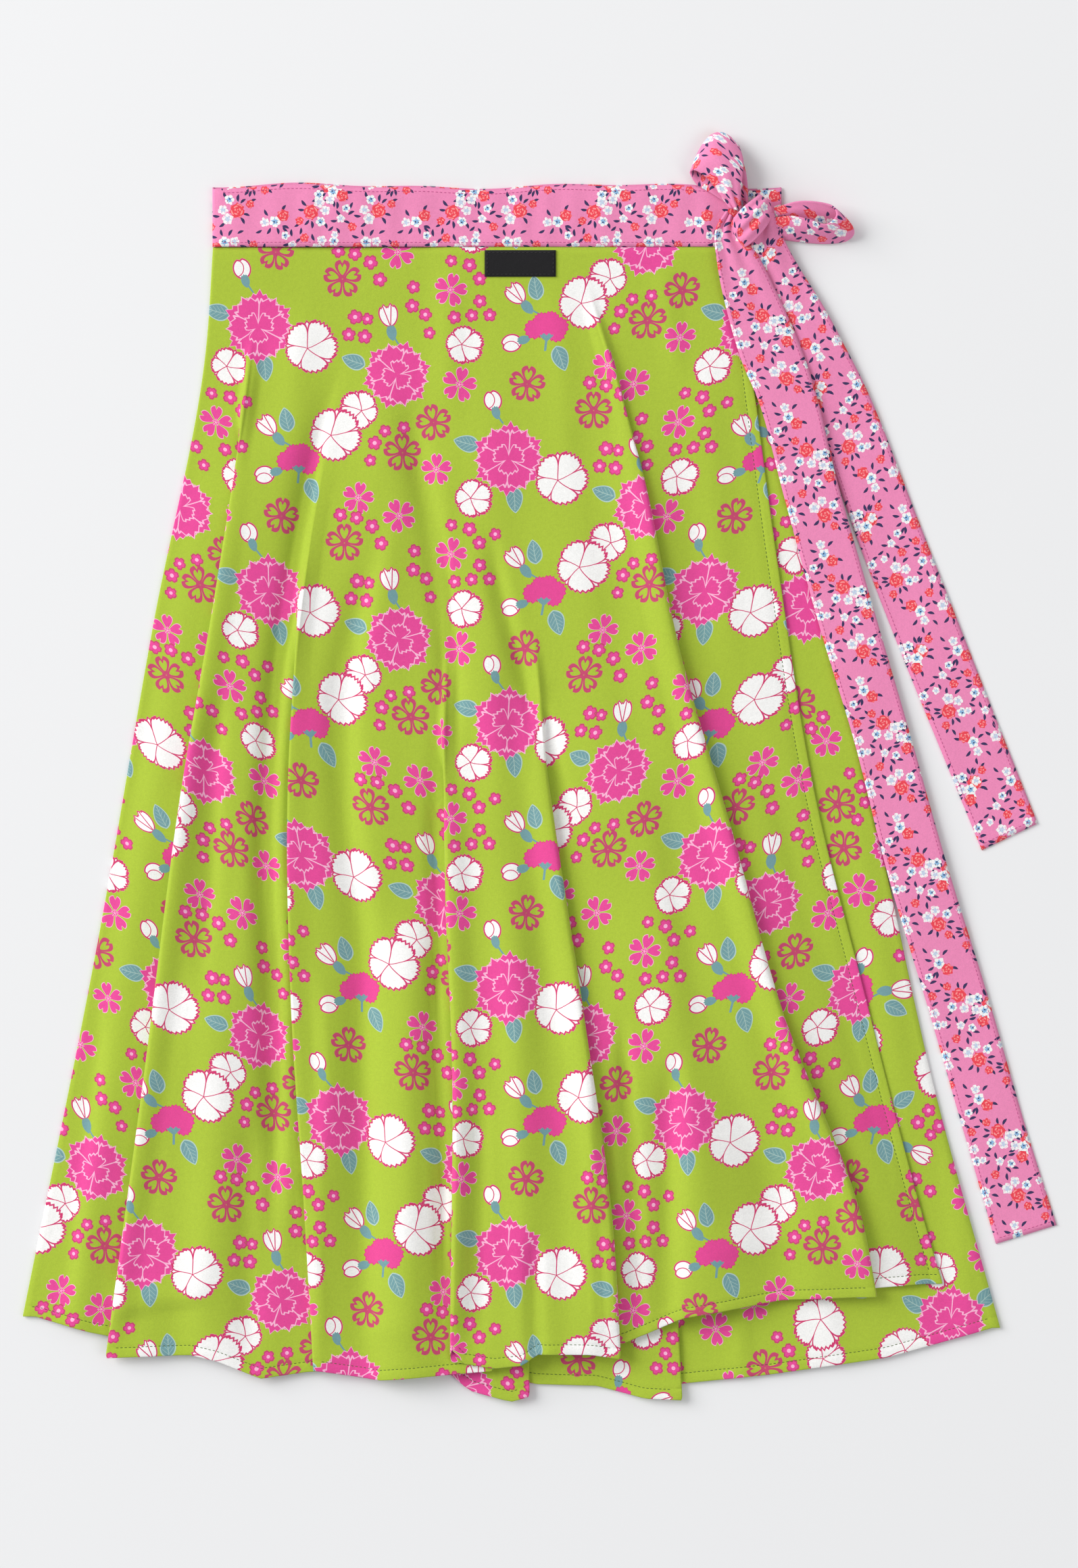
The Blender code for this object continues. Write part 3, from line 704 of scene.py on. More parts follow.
def calc(operation, *values, clamp=False):
    tree = next(value.socket.id_data for value in values if isinstance(value, Field))
    node = tree.nodes.new("ShaderNodeMath")
    node.operation = operation
    node.use_clamp = clamp
    for value, socket in zip(values, node.inputs):
        if isinstance(value, Field):
            tree.links.new(value.socket, socket)
        else:
            socket.default_value = value
    return Field(node.outputs[0])


def most(first, *others):
    for other in others:
        first = calc("MAXIMUM", first, other)
    return first


def least(first, *others):
    for other in others:
        first = calc("MINIMUM", first, other)
    return first


EDGE_SHARPNESS = 6.0     # an edge of the ink fades over a sixth of a millimetre


def soft(distance):
    return calc("MULTIPLY_ADD", distance, EDGE_SHARPNESS, 0.5, clamp=True)


def is_kind(kind, number):
    return calc("COMPARE", kind, number, 0.5)


def away(x, y):
    return (x * x + y * y) ** 0.5


def dye(red, green, blue):
    """A colour given as it looks, 0 to 255, as the renderer's linear colour."""
    def linear(value):
        value /= 255
        return value / 12.92 if value <= 0.04045 else ((value + 0.055) / 1.055) ** 2.4
    return (linear(red), linear(green), linear(blue), 1)


MIX_FIRST, MIX_SECOND, MIX_RESULT = 6, 7, 2     # the colour sockets of a Mix node


def paint(below, colour, amount):
    """A colour laid over what is below it. Both may be a socket or a plain colour."""
    tree = amount.socket.id_data
    node = tree.nodes.new("ShaderNodeMix")
    node.data_type = "RGBA"
    tree.links.new(amount.socket, node.inputs["Factor"])
    for value, index in ((below, MIX_FIRST), (colour, MIX_SECOND)):
        if isinstance(value, bpy.types.NodeSocket):
            tree.links.new(value, node.inputs[index])
        else:
            node.inputs[index].default_value = value
    return node.outputs[MIX_RESULT]


# %% [markdown]
# ## Drawing the motifs
# Most flowers are rings of petals. The angle round the middle is folded so that one petal's
# arithmetic draws them all, and each petal's tip is cut into small teeth. A broad white blossom has
# smaller petals behind its five front ones. A dahlia has six, six behind, and three at its heart.
# A carnation is a few round lobes together. A leaf is where two circles overlap.

# %% Shared shapes
INK = {"white": dye(247, 246, 243), "magenta": dye(212, 56, 112), "pink": dye(231, 74, 152),
       "rose": dye(198, 72, 110), "pale_pink": dye(250, 184, 214), "teal": dye(116, 158, 162),
       "pale_teal": dye(178, 204, 194), "coral": dye(238, 70, 84), "pale_coral": dye(252, 150, 150),
       "navy": dye(56, 50, 92), "pale_blue": dye(140, 184, 222), "blush": dye(244, 206, 222)}


def teeth(beside, width):
    """A row of small teeth along a petal's tip: 0 in the middle, up to width beside it."""
    return calc("PINGPONG", beside, width)


def folded(x, y, petals, turn=0.0, uneven=0.0):
    """How far round from the middle of its petal each place is, and how far out."""
    angle = calc("ARCTAN2", y, x)
    if uneven:
        angle = angle + calc("SINE", angle * 2 + 1.1) * uneven
    half = calc("PINGPONG", (angle + turn) * (petals / (2 * math.pi)), 0.5) * (2 * math.pi / petals)
    return half, away(x, y)


def petal(half, out, size, middle, length, root, spread, tip, tooth, slope):
    """A teardrop petal with a jagged tip, as the distance inside its edge. Its sizes are shares of
    the flower's. A steeper slope makes the tip more pointed."""
    along, beside = out * calc("COSINE", half) / size, out * calc("SINE", half) / size
    body = (1 - away((along - middle) / length, beside / (along * spread + root))) * size * 0.30
    jagged = tip - teeth(beside, tooth) * 1.1 - beside * slope
    return least(body, (jagged - along) * size * 0.65)


def ring(x, y, reach, petals, turn=0.0, valley=0.16, notch=0.08, tooth=0.14, power=3.0):
    """A closed ring of petals: the distance inside its edge, and that from the lines between them."""
    half, out = folded(x, y, petals, turn)
    share = half * (petals / math.pi)
    cut = least(notch - teeth(share, tooth) * (notch / tooth), most(tooth * 2.4 - share, 0.0) * 2)
    edge = (1 - share**power * valley - most(cut, 0.0)) * reach - out
    return edge, (1 - share) * out * (math.pi / petals)


def oval(x, y, reach, bow):
    """A pointed oval: where two circles overlap. A bigger bow makes it narrower."""
    return reach * math.hypot(1, bow) - away(x, abs(y) + reach * bow)

# %% Leaves and buds
def draw_leaf(x, y, size, kind, below):
    broad = y * (x / size * 0.30 + 1)
    leaf = oval(x, broad, size, 0.50)
    side_vein = 0.20 - calc("PINGPONG", x - abs(y) * 1.1, 1.45)
    veins = soft(most(side_vein, 0.26 - abs(y - x * x * 0.01))) * soft(leaf - 1.3)
    rim = soft(0.62 - leaf)
    stem = least(0.60 - abs(y - x * x * 0.02), size * -0.30 - x)
    cup = least(oval(x + size * 0.30, y, size * 0.44, 0.62), teeth(y + 0.9, 0.9) * 1.2 - size * 0.02 - x)
    bud = size * 0.53 - away((x - size * 0.40) * 0.86, y)
    bud = least(bud, (size * 0.92 + abs(y) * 0.5 - x) * 0.8)
    seam = 0.30 - abs(away(x - size * 0.52, y + size * 0.38) - size * 0.50)
    fan = size * 0.52 - away((x - size * 0.55) * 0.86, y * (1.25 - x / size * 0.30))
    fan = least(fan, (size * 0.96 + teeth(abs(y) + size, size * 0.13) * 1.4 - x) * 0.8)
    fan_line = 0.34 - abs(abs(y) - x * 0.20 - 0.1)
    is_leaf, is_bud, is_fan = is_kind(kind, 1), is_kind(kind, 2), is_kind(kind, 3)
    on_stem = is_bud + is_fan
    colour = paint(below, INK["teal"], least(soft(leaf) * is_leaf + soft(stem) * on_stem, 1.0))
    colour = paint(colour, INK["pale_teal"], soft(leaf) * is_leaf * most(rim, veins * 0.7))
    white = soft(bud) * is_bud + soft(fan) * is_fan
    colour = paint(colour, INK["white"], white)
    line = soft(most(0.92 - bud, seam)) * is_bud + soft(most(0.92 - fan, fan_line)) * is_fan
    colour = paint(colour, INK["magenta"], white * line)
    return paint(colour, INK["teal"], soft(cup) * on_stem)

# %% Dahlias and carnations
LOBES = [(-0.62, 0.10, 0.50), (-0.22, -0.28, 0.46), (0.22, -0.30, 0.50), (0.64, -0.02, 0.48),
         (0.50, 0.30, 0.46), (-0.05, 0.05, 0.55)]


def draw_dahlia(x, y, size, kind, below):
    low = y - size * 0.08
    half, out = folded(x, low, 6, uneven=0.06)
    front = petal(half, out, size, 0.50, 0.58, 0.12, 0.36, 0.96, 0.09, 0.7)
    behind = petal(math.pi / 6 - half, out, size, 0.58, 0.48, 0.07, 0.46, 1.04, 0.09, 0.7)
    small_half, small_out = folded(x, low, 3, turn=0.5)
    heart = petal(small_half, small_out, size, 0.24, 0.26, 0.10, 0.60, 0.48, 0.06, 0.5)
    whole = most(front, behind)
    between = least(0.36 - (math.pi / 6 - half) * out, front)
    lines = most(least(most(0.38 - abs(front), between), -1 * heart), 0.38 - abs(heart))
    head = most(*(radius * size - away(x - right * size, y - down * size)
                  for right, down, radius in LOBES))
    head = head + teeth(calc("ARCTAN2", y, x) * (14 / math.pi), 0.5) * 2.2 - 0.6
    speckle = calc("SINE", x * 5.1 + y * 2.3) * calc("SINE", y * 4.7 - x * 1.9)
    is_dahlia, is_carnation = is_kind(kind, 1), is_kind(kind, 2)
    colour = paint(below, INK["pale_pink"], soft(whole + 0.35) * is_dahlia)
    colour = paint(colour, INK["pink"], soft(whole) * is_dahlia)
    colour = paint(colour, INK["pale_pink"], soft(whole) * soft(lines) * is_dahlia)
    colour = paint(colour, INK["magenta"], soft(head) * is_carnation)
    colour = paint(colour, INK["pink"], soft(head - 0.45) * (speckle * 0.08 + 0.9) * is_carnation)
    cup = least(size * 0.34 - away(x, (y - size * 0.42) * 0.9), y - size * 0.30 - teeth(x + 1.7, 1.7) * 0.9)
    cup = least(cup, size * 0.76 - y - abs(x) * 0.9)
    stalk = least(0.75 - abs(x - (y - size * 0.6) * -0.12), y - size * 0.5, size * 1.22 - y)
    return paint(colour, INK["teal"], soft(most(cup, stalk)) * is_carnation)

# %% White blossoms
def draw_blossom(x, y, size, kind, below):
    lean = most(size - away(x, y), 0.0) * 0.14
    x, y = x + lean, y - lean
    curl = away(x, y) / size * 0.18
    cos, sin = calc("COSINE", curl), calc("SINE", curl)
    x, y = x * cos - y * sin, x * sin + y * cos
    half, out = folded(x, y, 5, uneven=0.10)
    front = petal(half, out, size, 0.54, 0.46, 0.12, 0.46, 1.0, 0.08, 0.15)
    behind = petal(math.pi / 5 - half, out, size, 0.56, 0.46, 0.08, 0.55, 0.95, 0.075, 0.25)
    inside = most(front, behind, size * 0.3 - out)
    between = least(0.30 - (math.pi / 5 - half) * out, size * 0.45 - out)
    lines = most(0.92 - inside, least(0.34 - abs(front), out - size * 0.40), between)
    present = is_kind(kind, 1)
    colour = paint(below, INK["white"], soft(inside) * present)
    return paint(colour, INK["magenta"], soft(inside) * soft(lines) * present)

# %% Cherry flowers and florets
def draw_small(x, y, size, kind, below):
    half, out = folded(x, y, 5)
    along, beside = out * calc("COSINE", half) / size, out * calc("SINE", half) / size
    wide = along * 0.38 + 0.08
    leaf = (1 - away((along - 0.57) / 0.44, beside / wide)) * size * 0.26
    leaf = least(leaf, (0.78 - along + least(beside * 2.0, 0.22)) * size * 0.55)
    solid = most(leaf, size * 0.15 - out)
    share = half * (5 / math.pi)
    floret = (1 - share * share * 0.30 - most(0.25 - share, 0.0) * 0.35) * size * 1.05 - out
    is_outlined, is_cherry, is_floret = is_kind(kind, 1), is_kind(kind, 2), is_kind(kind, 3)
    colour = paint(below, INK["rose"], soft(0.72 - abs(leaf)) * is_outlined)
    colour = paint(colour, INK["pale_pink"], soft(solid + 0.22) * is_cherry)
    colour = paint(colour, INK["pink"], soft(solid) * is_cherry)
    centre_line = least(0.20 - beside * size, (0.24 - along) * size)
    colour = paint(colour, INK["pale_pink"], soft(centre_line) * is_cherry)
    colour = paint(colour, INK["rose"], soft(floret) * is_floret)
    colour = paint(colour, INK["pink"], soft(floret - 1.0) * is_floret)
    return paint(colour, INK["pale_pink"], soft(size * 0.27 - out) * is_floret)

# %% The small print's posies and sprig leaves
def draw_posy(x, y, size, kind, below):
    wobble = calc("SINE", x * 1.9 + size * 3) * calc("SINE", y * 2.3 + size) * 0.35
    flower, petal_line = ring(x, y, size, 5, valley=0.30, notch=0.08, power=2.0)
    rose, _ = ring(x, y, size, 7, turn=0.4, valley=0.16, notch=0.0, power=1.5)
    flower, rose = flower + wobble, rose + wobble
    out = away(x, y)
    angle = calc("ARCTAN2", y, x)
    stroke = calc("SINE", angle * 3 + out * 1.9) * 0.7 + calc("SINE", out * 3.6 - angle * 2) * 0.5
    swirl = stroke - 0.35
    is_rose, is_white, is_blue = is_kind(kind, 1), is_kind(kind, 2), is_kind(kind, 3)
    colour = paint(below, INK["coral"], soft(rose) * is_rose)
    colour = paint(colour, INK["pale_coral"], soft(rose - 0.3) * soft(swirl) * is_rose)
    colour = paint(colour, INK["white"], soft(flower) * (is_white + is_blue))
    colour = paint(colour, INK["blush"], soft(flower - 0.3) * soft(swirl * 1.5) * is_white)
    blue = most(size * 0.40 - out + wobble, least(0.28 - petal_line, flower - 0.5))
    colour = paint(colour, INK["pale_blue"], soft(blue) * (is_blue + is_white * 0.55))
    fleck = most(0.42 - away(x - 0.5, y * 0.7), 0.32 - away(x * 0.7 + 0.8, y - 0.9))
    return paint(colour, INK["navy"], soft(fleck) * is_blue)


def draw_sprig(x, y, size, kind, below):
    sliver = oval(x, y + x * x * 0.07, size, 1.15)
    return paint(below, INK["navy"], soft(sliver) * is_kind(kind, 1))

# %% One node group for each family
def motif_group(name, draw):
    """A node group that draws a family of motifs over a colour, from one stamp."""
    tree = bpy.data.node_groups.new(name, "ShaderNodeTree")
    tree.interface.new_socket("stamp", in_out="INPUT", socket_type="NodeSocketVector")
    tree.interface.new_socket("below", in_out="INPUT", socket_type="NodeSocketColor")
    tree.interface.new_socket("colour", in_out="OUTPUT", socket_type="NodeSocketColor")
    start, end = tree.nodes.new("NodeGroupInput"), tree.nodes.new("NodeGroupOutput")
    split = tree.nodes.new("ShaderNodeSeparateXYZ")
    tree.links.new(start.outputs["stamp"], split.inputs[0])
    x, y, code = (Field(socket) for socket in split.outputs)
    kind = calc("FLOOR", code / KIND_STEP)
    size = code - kind * KIND_STEP
    tree.links.new(draw(x, y, size, kind, start.outputs["below"]), end.inputs["colour"])
    print(name, len(tree.nodes), "nodes")
    return tree


GROUPS = {"leaf": motif_group("leaves_and_buds", draw_leaf),
          "dahlia": motif_group("dahlias_and_carnations", draw_dahlia),
          "blossom": motif_group("white_blossoms", draw_blossom),
          "small": motif_group("cherry_and_florets", draw_small),
          "sprig": motif_group("sprig_leaves", draw_sprig),
          "posy": motif_group("roses_and_posies", draw_posy)}

# %% [markdown]
# ## The cloth's finish
# A printed cotton is matt, with a faint sheen at the grazing edges of folds. Its threads show as a
# fine even grain, with slightly thicker ones here and there, and the dye is never quite even. The
# weave's relief is bumped, and a faint painted shade of it is also laid in the colour. All of that
# follows the threads, so it reads the flat cloth's place and turns with each piece.

# %% Printed cloth
THREAD_PITCH = 0.62


def noise(tree, place, scale, detail=2.0):
    node = tree.nodes.new("ShaderNodeTexNoise")
    node.inputs["Scale"].default_value = scale
    node.inputs["Detail"].default_value = detail
    tree.links.new(place, node.inputs["Vector"])
    return Field(node.outputs["Fac"])


def attribute(tree, name):
    node = tree.nodes.new("ShaderNodeAttribute")
    node.attribute_name = name
    return node.outputs["Vector"]


def woven(tree, shader, colour, weave_depth):
    """Grain, uneven dye and the relief of threads, on a colour that is already drawn. The relief is bumped,
    and also laid in the colour as a faint painted shade.
    """
    thread = attribute(tree, "thread")
    split = tree.nodes.new("ShaderNodeSeparateXYZ")
    tree.links.new(thread, split.inputs[0])
    u, v = Field(split.outputs[0]), Field(split.outputs[1])
    weave = calc("SINE", u * (2 * math.pi / THREAD_PITCH)) * calc("SINE", v * (2 * math.pi / THREAD_PITCH))
    grain, slub, uneven = (noise(tree, thread, scale) for scale in (1.1, 0.42, 0.02))
    # The colour's multiplier: grain, thicker threads and uneven dye are the cloth's own tone, and the weave
    # term is a faint painted shade of the threads' relief.
    grain_and_weave_shade = 0.76 + grain * 0.26 + slub * 0.14 + uneven * 0.06 + weave * 0.02
    mix = tree.nodes.new("ShaderNodeMix")
    mix.data_type, mix.blend_type = "RGBA", "MULTIPLY"
    mix.inputs["Factor"].default_value = 1.0
    tree.links.new(colour, mix.inputs[MIX_FIRST])
    tree.links.new(grain_and_weave_shade.socket, mix.inputs[MIX_SECOND])
    tree.links.new(mix.outputs[MIX_RESULT], shader.inputs["Base Color"])
    tree.links.new((0.70 + grain * 0.25).socket, shader.inputs["Roughness"])
    bump = tree.nodes.new("ShaderNodeBump")
    bump.inputs["Strength"].default_value = weave_depth
    bump.inputs["Distance"].default_value = 0.25 * MM
    tree.links.new((weave * 0.35 + grain + noise(tree, thread, 0.16) * 2.0).socket, bump.inputs["Height"])
    tree.links.new(bump.outputs["Normal"], shader.inputs["Normal"])
    shader.inputs["Sheen Weight"].default_value = 0.12
    shader.inputs["Sheen Roughness"].default_value = 0.5
    shader.inputs["Specular IOR Level"].default_value = 0.25


def printed_cloth(name, ground, families):
    made = bpy.data.materials.new(name)
    made.use_nodes = True
    tree = made.node_tree
    plain = tree.nodes.new("ShaderNodeRGB")
    plain.outputs[0].default_value = ground
    colour = plain.outputs[0]
    for family in families:
        for slot in range(SLOTS[family]):
            group = tree.nodes.new("ShaderNodeGroup")
            group.node_tree = GROUPS[family]
            tree.links.new(attribute(tree, f"{family}_{slot}"), group.inputs["stamp"])
            tree.links.new(colour, group.inputs["below"])
            colour = group.outputs["colour"]
    woven(tree, tree.nodes["Principled BSDF"], colour, 0.35)
    made.diffuse_color = ground
    return made


floral_cloth = printed_cloth("floral_cotton", dye(171, 194, 57), ("leaf", "dahlia", "blossom", "small"))
ditsy_cloth = printed_cloth("ditsy_cotton", dye(238, 139, 184), ("sprig", "posy"))
print("materials", floral_cloth.name, ditsy_cloth.name)

# %% [markdown]
# ## The two designs
# The skirt's design is a tossed one. A textile designer composes a few bouquets, sets them in a
# block that repeats with a half drop, so that no rows show, and then scatters small flowers into
# the spaces. The same is done here: the bouquets are listed one by one, and each small flower goes to
# the emptiest of several places drawn from a fixed seed. In a bouquet a row is a kind of motif, how
# far right and down it lies, its turn in degrees and its size from heart to tip in millimetres.

# %% The floral design
HALF_DROP = {"side": (160, 84), "drop": (0, 168)}
BOUQUETS = {
    "full": [("leaf", -27, -8, 195, 8.5), ("leaf", 4, 28, 85, 8.5),
             ("bud", -9, -31, -105, 11), ("dahlia", 0, 0, 0, 23), ("blossom", 34, 14, 15, 18),
             ("blossom", -22, 27, 50, 13)],
    "second": [("leaf", 22, 19, 40, 8), ("opening_bud", -8, 32, 100, 13),
               ("dahlia", 0, 0, 35, 21.5), ("blossom", 30, -11, 80, 13.5)],
    "light": [("leaf", 9, 20, 70, 8.5), ("leaf", -7, -25, -100, 8), ("opening_bud", -15, -16, -130, 13),
              ("bud", -18, 9, 165, 11), ("carnation", 0, 0, 0, 12.5), ("blossom", 25, -16, 30, 18)],
}
PLACES = [("full", 0, 0, 0), ("second", 88, 34, 160), ("light", 24, 86, 0)]
SINGLES = [("cherry", 10.5, 2), ("outlined_cherry", 11, 2), ("blossom", 13, 1), ("cherry", 10, 2),
           ("outlined_cherry", 10.5, 2), ("cherry", 11, 1)]
TRAILS, TRAIL_STEPS, FLORET = 6, 4, 4.4
FLORET_STEP = (9.8, 12.5)     # least and most from one floret to the next


SIDE_STEP, DROP_STEP = (np.array(HALF_DROP[key], float) for key in ("side", "drop"))


def roomiest(motifs, size, drawn):
    """The one of the drawn places that lies farthest from every motif's edge, over all repeats."""
    centres = np.array([motif[1:3] for motif in motifs], float)
    reaches = np.array([motif[4] for motif in motifs])
    copies = [i * SIDE_STEP + j * DROP_STEP for i in range(-3, 4) for j in range(-3, 4)]

    def room(place):
        return min((np.hypot(*(centres + copy - place).T) - reaches).min() for copy in copies) - size
    return max(drawn, key=room)


def anywhere(draw, tries=80):
    """Places drawn in one block of the repeat."""
    return [draw.random() * SIDE_STEP + draw.random() * DROP_STEP for _ in range(tries)]


def composed(seed):
    """The bouquets, then single flowers, then winding trails of florets."""
    draw = random.Random(seed)
    motifs = scattered(BOUQUETS, PLACES)
    for kind, size, count in SINGLES:
        for _ in range(count):
            place = roomiest(motifs, size, anywhere(draw))
            motifs.append((kind, *place, draw.uniform(0, 360), size))
    for _ in range(TRAILS):
        place = roomiest(motifs, FLORET, anywhere(draw))
        for _ in range(TRAIL_STEPS):
            motifs.append(("floret", *place, draw.uniform(0, 72), FLORET * draw.uniform(0.92, 1.12)))
            turns = [draw.uniform(0, 2 * math.pi) for _ in range(12)]
            steps = [place + draw.uniform(*FLORET_STEP) * np.array([math.cos(turn), math.sin(turn)])
                     for turn in turns]
            place = roomiest(motifs, FLORET, steps)
    return motifs


def scattered(sprays, placings, spacing=1.0, kept=None, others=1.0):
    """The motifs of every spray, moved and turned to its place. Leaves come first, so below."""
    motifs = []
    for spray, right, down, turn in placings:
        cos, sin = spacing * math.cos(math.radians(turn)), spacing * math.sin(math.radians(turn))
        motifs += [(kind, right + x * cos - y * sin, down + x * sin + y * cos, own + turn,
                    size * (1.0 if kept in (None, kind) else others))
                   for kind, x, y, own, size in sprays[spray]]
    return motifs


FLORAL = {**HALF_DROP, "motifs": composed(seed=11)}
print("floral design", len(FLORAL["motifs"]), "motifs in a block")

# %% [markdown]
# The band and the ties have a ditsy design: small sprays of a rose, white and blue posies and dark
# leaves, scattered on pink. A spray is written once, and placed several times, turned each time.

# %% The ditsy design
def sprig(right, down, turn, size):
    return ("sprig_leaf", right, down, turn, size)


SPRAYS = {
    "rose": [sprig(8, 4, 25, 2.9), sprig(8, 0, -20, 2.6), sprig(-4, -7, -120, 2.9),
             sprig(1, -7, -75, 2.6), sprig(-14, 4, 160, 2.8), sprig(-11, 11, 110, 2.8),
             sprig(5, 13, 50, 2.8), sprig(12, -6, -35, 2.5), sprig(15, -2, 10, 2.6),
             ("rose", 0, 0, 0, 4.9), ("white_posy", -8.5, 3, 30, 4.4), ("white_posy", -4.5, 9, 70, 3.8),
             ("blue_posy", 4, 8.5, 10, 3.8), ("rose", 8.5, -5.5, 40, 2.7)],
    "blue": [sprig(6, 5, 40, 2.8), sprig(-6, 6, 140, 2.8), sprig(0, 7, 85, 2.6),
             sprig(-9, -7, -140, 2.8), sprig(13, 3, 5, 2.6), sprig(4, -8, -80, 2.8),
             ("blue_posy", 0, 0, 0, 4.5), ("white_posy", 7, -2, 50, 3.6), ("rose", -7, -2, 20, 3.9)],
    "trail": [sprig(-8, -5, -150, 2.6), sprig(-5, 0, 170, 2.6), sprig(-1, 5, 120, 2.8),
              sprig(4, -2, -30, 2.6), sprig(8, 4, 20, 2.8), sprig(9, 9, 60, 2.6),
              sprig(-3, -7, -70, 2.4), ("white_posy", 0, 1, 0, 3.2), ("blue_posy", 5, 7.5, 60, 3.2),
              ("white_posy", -6, -9.5, 30, 2.8),
              ("rose", 7, -6, 10, 2.9)],
}
DITSY_SPRAYS = [
    ("rose", 0, 0, 0), ("blue", 24, 7, 20), ("rose", 48, -2, 160), ("trail", 68, 5, 75),
    ("trail", 8, 21, 10), ("rose", 32, 27, 60), ("blue", 56, 20, 200), ("blue", 3, 39, 140),
    ("rose", 79, 26, 250),
]


DITSY = {"side": (90, 0), "drop": (42, 45), "motifs": scattered(SPRAYS, DITSY_SPRAYS, 0.9, "rose", 0.86)}
print("ditsy design", len(DITSY["motifs"]), "motifs in a block")

# %% [markdown]
# ## The three panels
# Now the panels can be made. Their prints are cut from the cloth at different places and angles, as
# a cutter lays pattern pieces on the length to save cloth: the under-wrap's motifs lie turned.

# %% Over-wrap, under-wrap and back
UNDER_TURN = 125
FIRST_SHIFT = {"over": (20.0, 35.0), "under": (70.0, 20.0), "back": (0.0, 60.0)}
NAMES = {"over": "over_wrap_cloth", "under": "under_wrap_cloth", "back": "back_cloth"}


def eased(values, rows=61):
    """The values averaged down the rows, so that cloth taken up by a fold comes in slowly."""
    weights = np.hanning(rows + 2)[1:-1]
    padded = np.pad(values, ((rows // 2, rows // 2), (0, 0)), "edge")
    return np.stack([np.convolve(column, weights / weights.sum(), "valid") for column in padded.T], axis=1)


def panel(key, turn):
    x, down, z, _ = PANEL_POINTS[key]
    run = lengths(x, z)
    reference = np.argmin(np.abs(x[-1] - x[-1].mean()))
    taken_up = (run - run[:, reference:reference + 1]) - (x - x[:, reference:reference + 1])
    flat_u = x + eased(taken_up)
    mesh, flat = cloth_grid(NAMES[key], x, down, z, flat_u, down)
    print_on(mesh, flat, FLORAL, FIRST_SHIFT[key], turn)
    return cloth_object(NAMES[key], mesh, WALL, floral_cloth)


over_wrap = panel("over", 0)
under_wrap = panel("under", UNDER_TURN)
back = panel("back", 0)

# %% [markdown]
# ## The waistband
# The band is one strip, folded double along its top edge and sewn to the skirt along the bottom. Laid
# flat it makes two turns, so three layers of it lie on each other. Sewing draws it up a little, and
# the small puckers between its two rows of stitching show that.

# %% Band points
BAND_COLUMNS = {"short_side": 70, "turn": 7, "back": 120, "front": 130}
TURN_SWEEP = 75       # degrees of arc either side of a turn's middle


def band_points(rows=15):
    count = BAND_COLUMNS
    left, right = LINES["left_fold"]["across"][0], LINES["right_fold"]["across"][0]
    low, middle, high = BAND_LEVELS
    turn = np.radians(np.linspace(-TURN_SWEEP, TURN_SWEEP, count["turn"]))
    first, second = (middle - low) / 2, (high - low) / 2
    path_x = np.concatenate([
        np.linspace(-40, right - 4, count["short_side"]), right - first + first * np.cos(turn),
        np.linspace(right - 4, left + 6, count["back"]), left + second - second * np.cos(turn),
        np.linspace(left + 6, BAND_END, count["front"])])
    path_z = np.concatenate([
        np.full(count["short_side"], middle), low + first * (1 - np.sin(turn)),
        np.full(count["back"], low), low + second * (1 + np.sin(turn)),
        np.full(count["front"], high)])
    up = np.linspace(GAP / 2, BAND_HEIGHT, rows)[:, None]
    x, z = np.repeat(path_x[None], rows, axis=0), np.repeat(path_z[None], rows, axis=0)
    wave = 1.3 * np.sin(x / 31.0) + 0.8 * np.sin(x / 13.0 + 1.0)
    behind = np.where(z < middle, 1.2, 0.0)
    share = up / BAND_HEIGHT
    pucker = 0.28 * np.sin(x / 3.1 + 1.5 * np.sin(x / 19)) * np.sin(np.pi * share) ** 0.5
    swell = 0.5 * np.sin(x / 26 + 0.6) * np.sin(np.pi * share)
    edges = -0.35 * (2 * share - 1) ** 8
    on_top = np.where(z > middle, 1.0, 0.3)
    z = np.maximum(z + on_top * (pucker + swell) + edges, DOUBLE_WALL / 2 + 0.05)
    return x, -(up + (wave + behind) * share), z, np.ones(x.shape[1], bool)


BAND = band_points()
band_mesh, band_flat = cloth_grid("waistband_strip", *BAND[:3], lengths(BAND[0], BAND[2]), -BAND[1])
print_on(band_mesh, band_flat, DITSY, (0, 4))
waistband = cloth_object("waistband_strip", band_mesh, DOUBLE_WALL, ditsy_cloth)

# %% [markdown]
# ## The ties
# A tie is a strip folded double, turned and pressed, with a row of stitching round its edges. It lies
# flat for most of its length, and towards the knot it is gathered into soft lengthwise folds.

# %% Tie tables and points
TIE_LONG = {
    "edge":        [(118, -22), (111, -9), (112, 9), (117, 35), (127, 70), (141, 105), (155, 159),
                    (178, 243), (200, 316), (221.5, 401), (247, 485), (271, 568), (290, 634)],
    "other_edge":  [(124, -17), (126, -8), (137, 4), (150, 29), (164, 60), (176, 96), (189, 150),
                    (213, 234), (234, 306), (258, 391), (284, 474), (308, 557), (328.5, 622)],
    "height":      [10.4, 9.4, 8.0, 6.4, 5.6, 5.2, 4.3, 3.9, 3.8, 3.6, 1.5, 0.7, 0.7],
}
TIE_SHORT = {
    "edge":        [(140, -20), (134, -2), (136, 22), (146, 53), (157, 76), (177, 116), (204.5, 193),
                    (232, 264), (257, 325), (281, 383.5)],
    "other_edge":  [(148, -21), (153, -8), (164, 12), (179, 36), (191.5, 59), (212, 100.5), (242, 177.5),
                    (270, 249), (294, 310), (316.5, 366.5)],
    "height":      [11.5, 8.0, 4.6, 3.9, 3.5, 1.8, 0.8, 0.7, 0.7, 0.7],
}


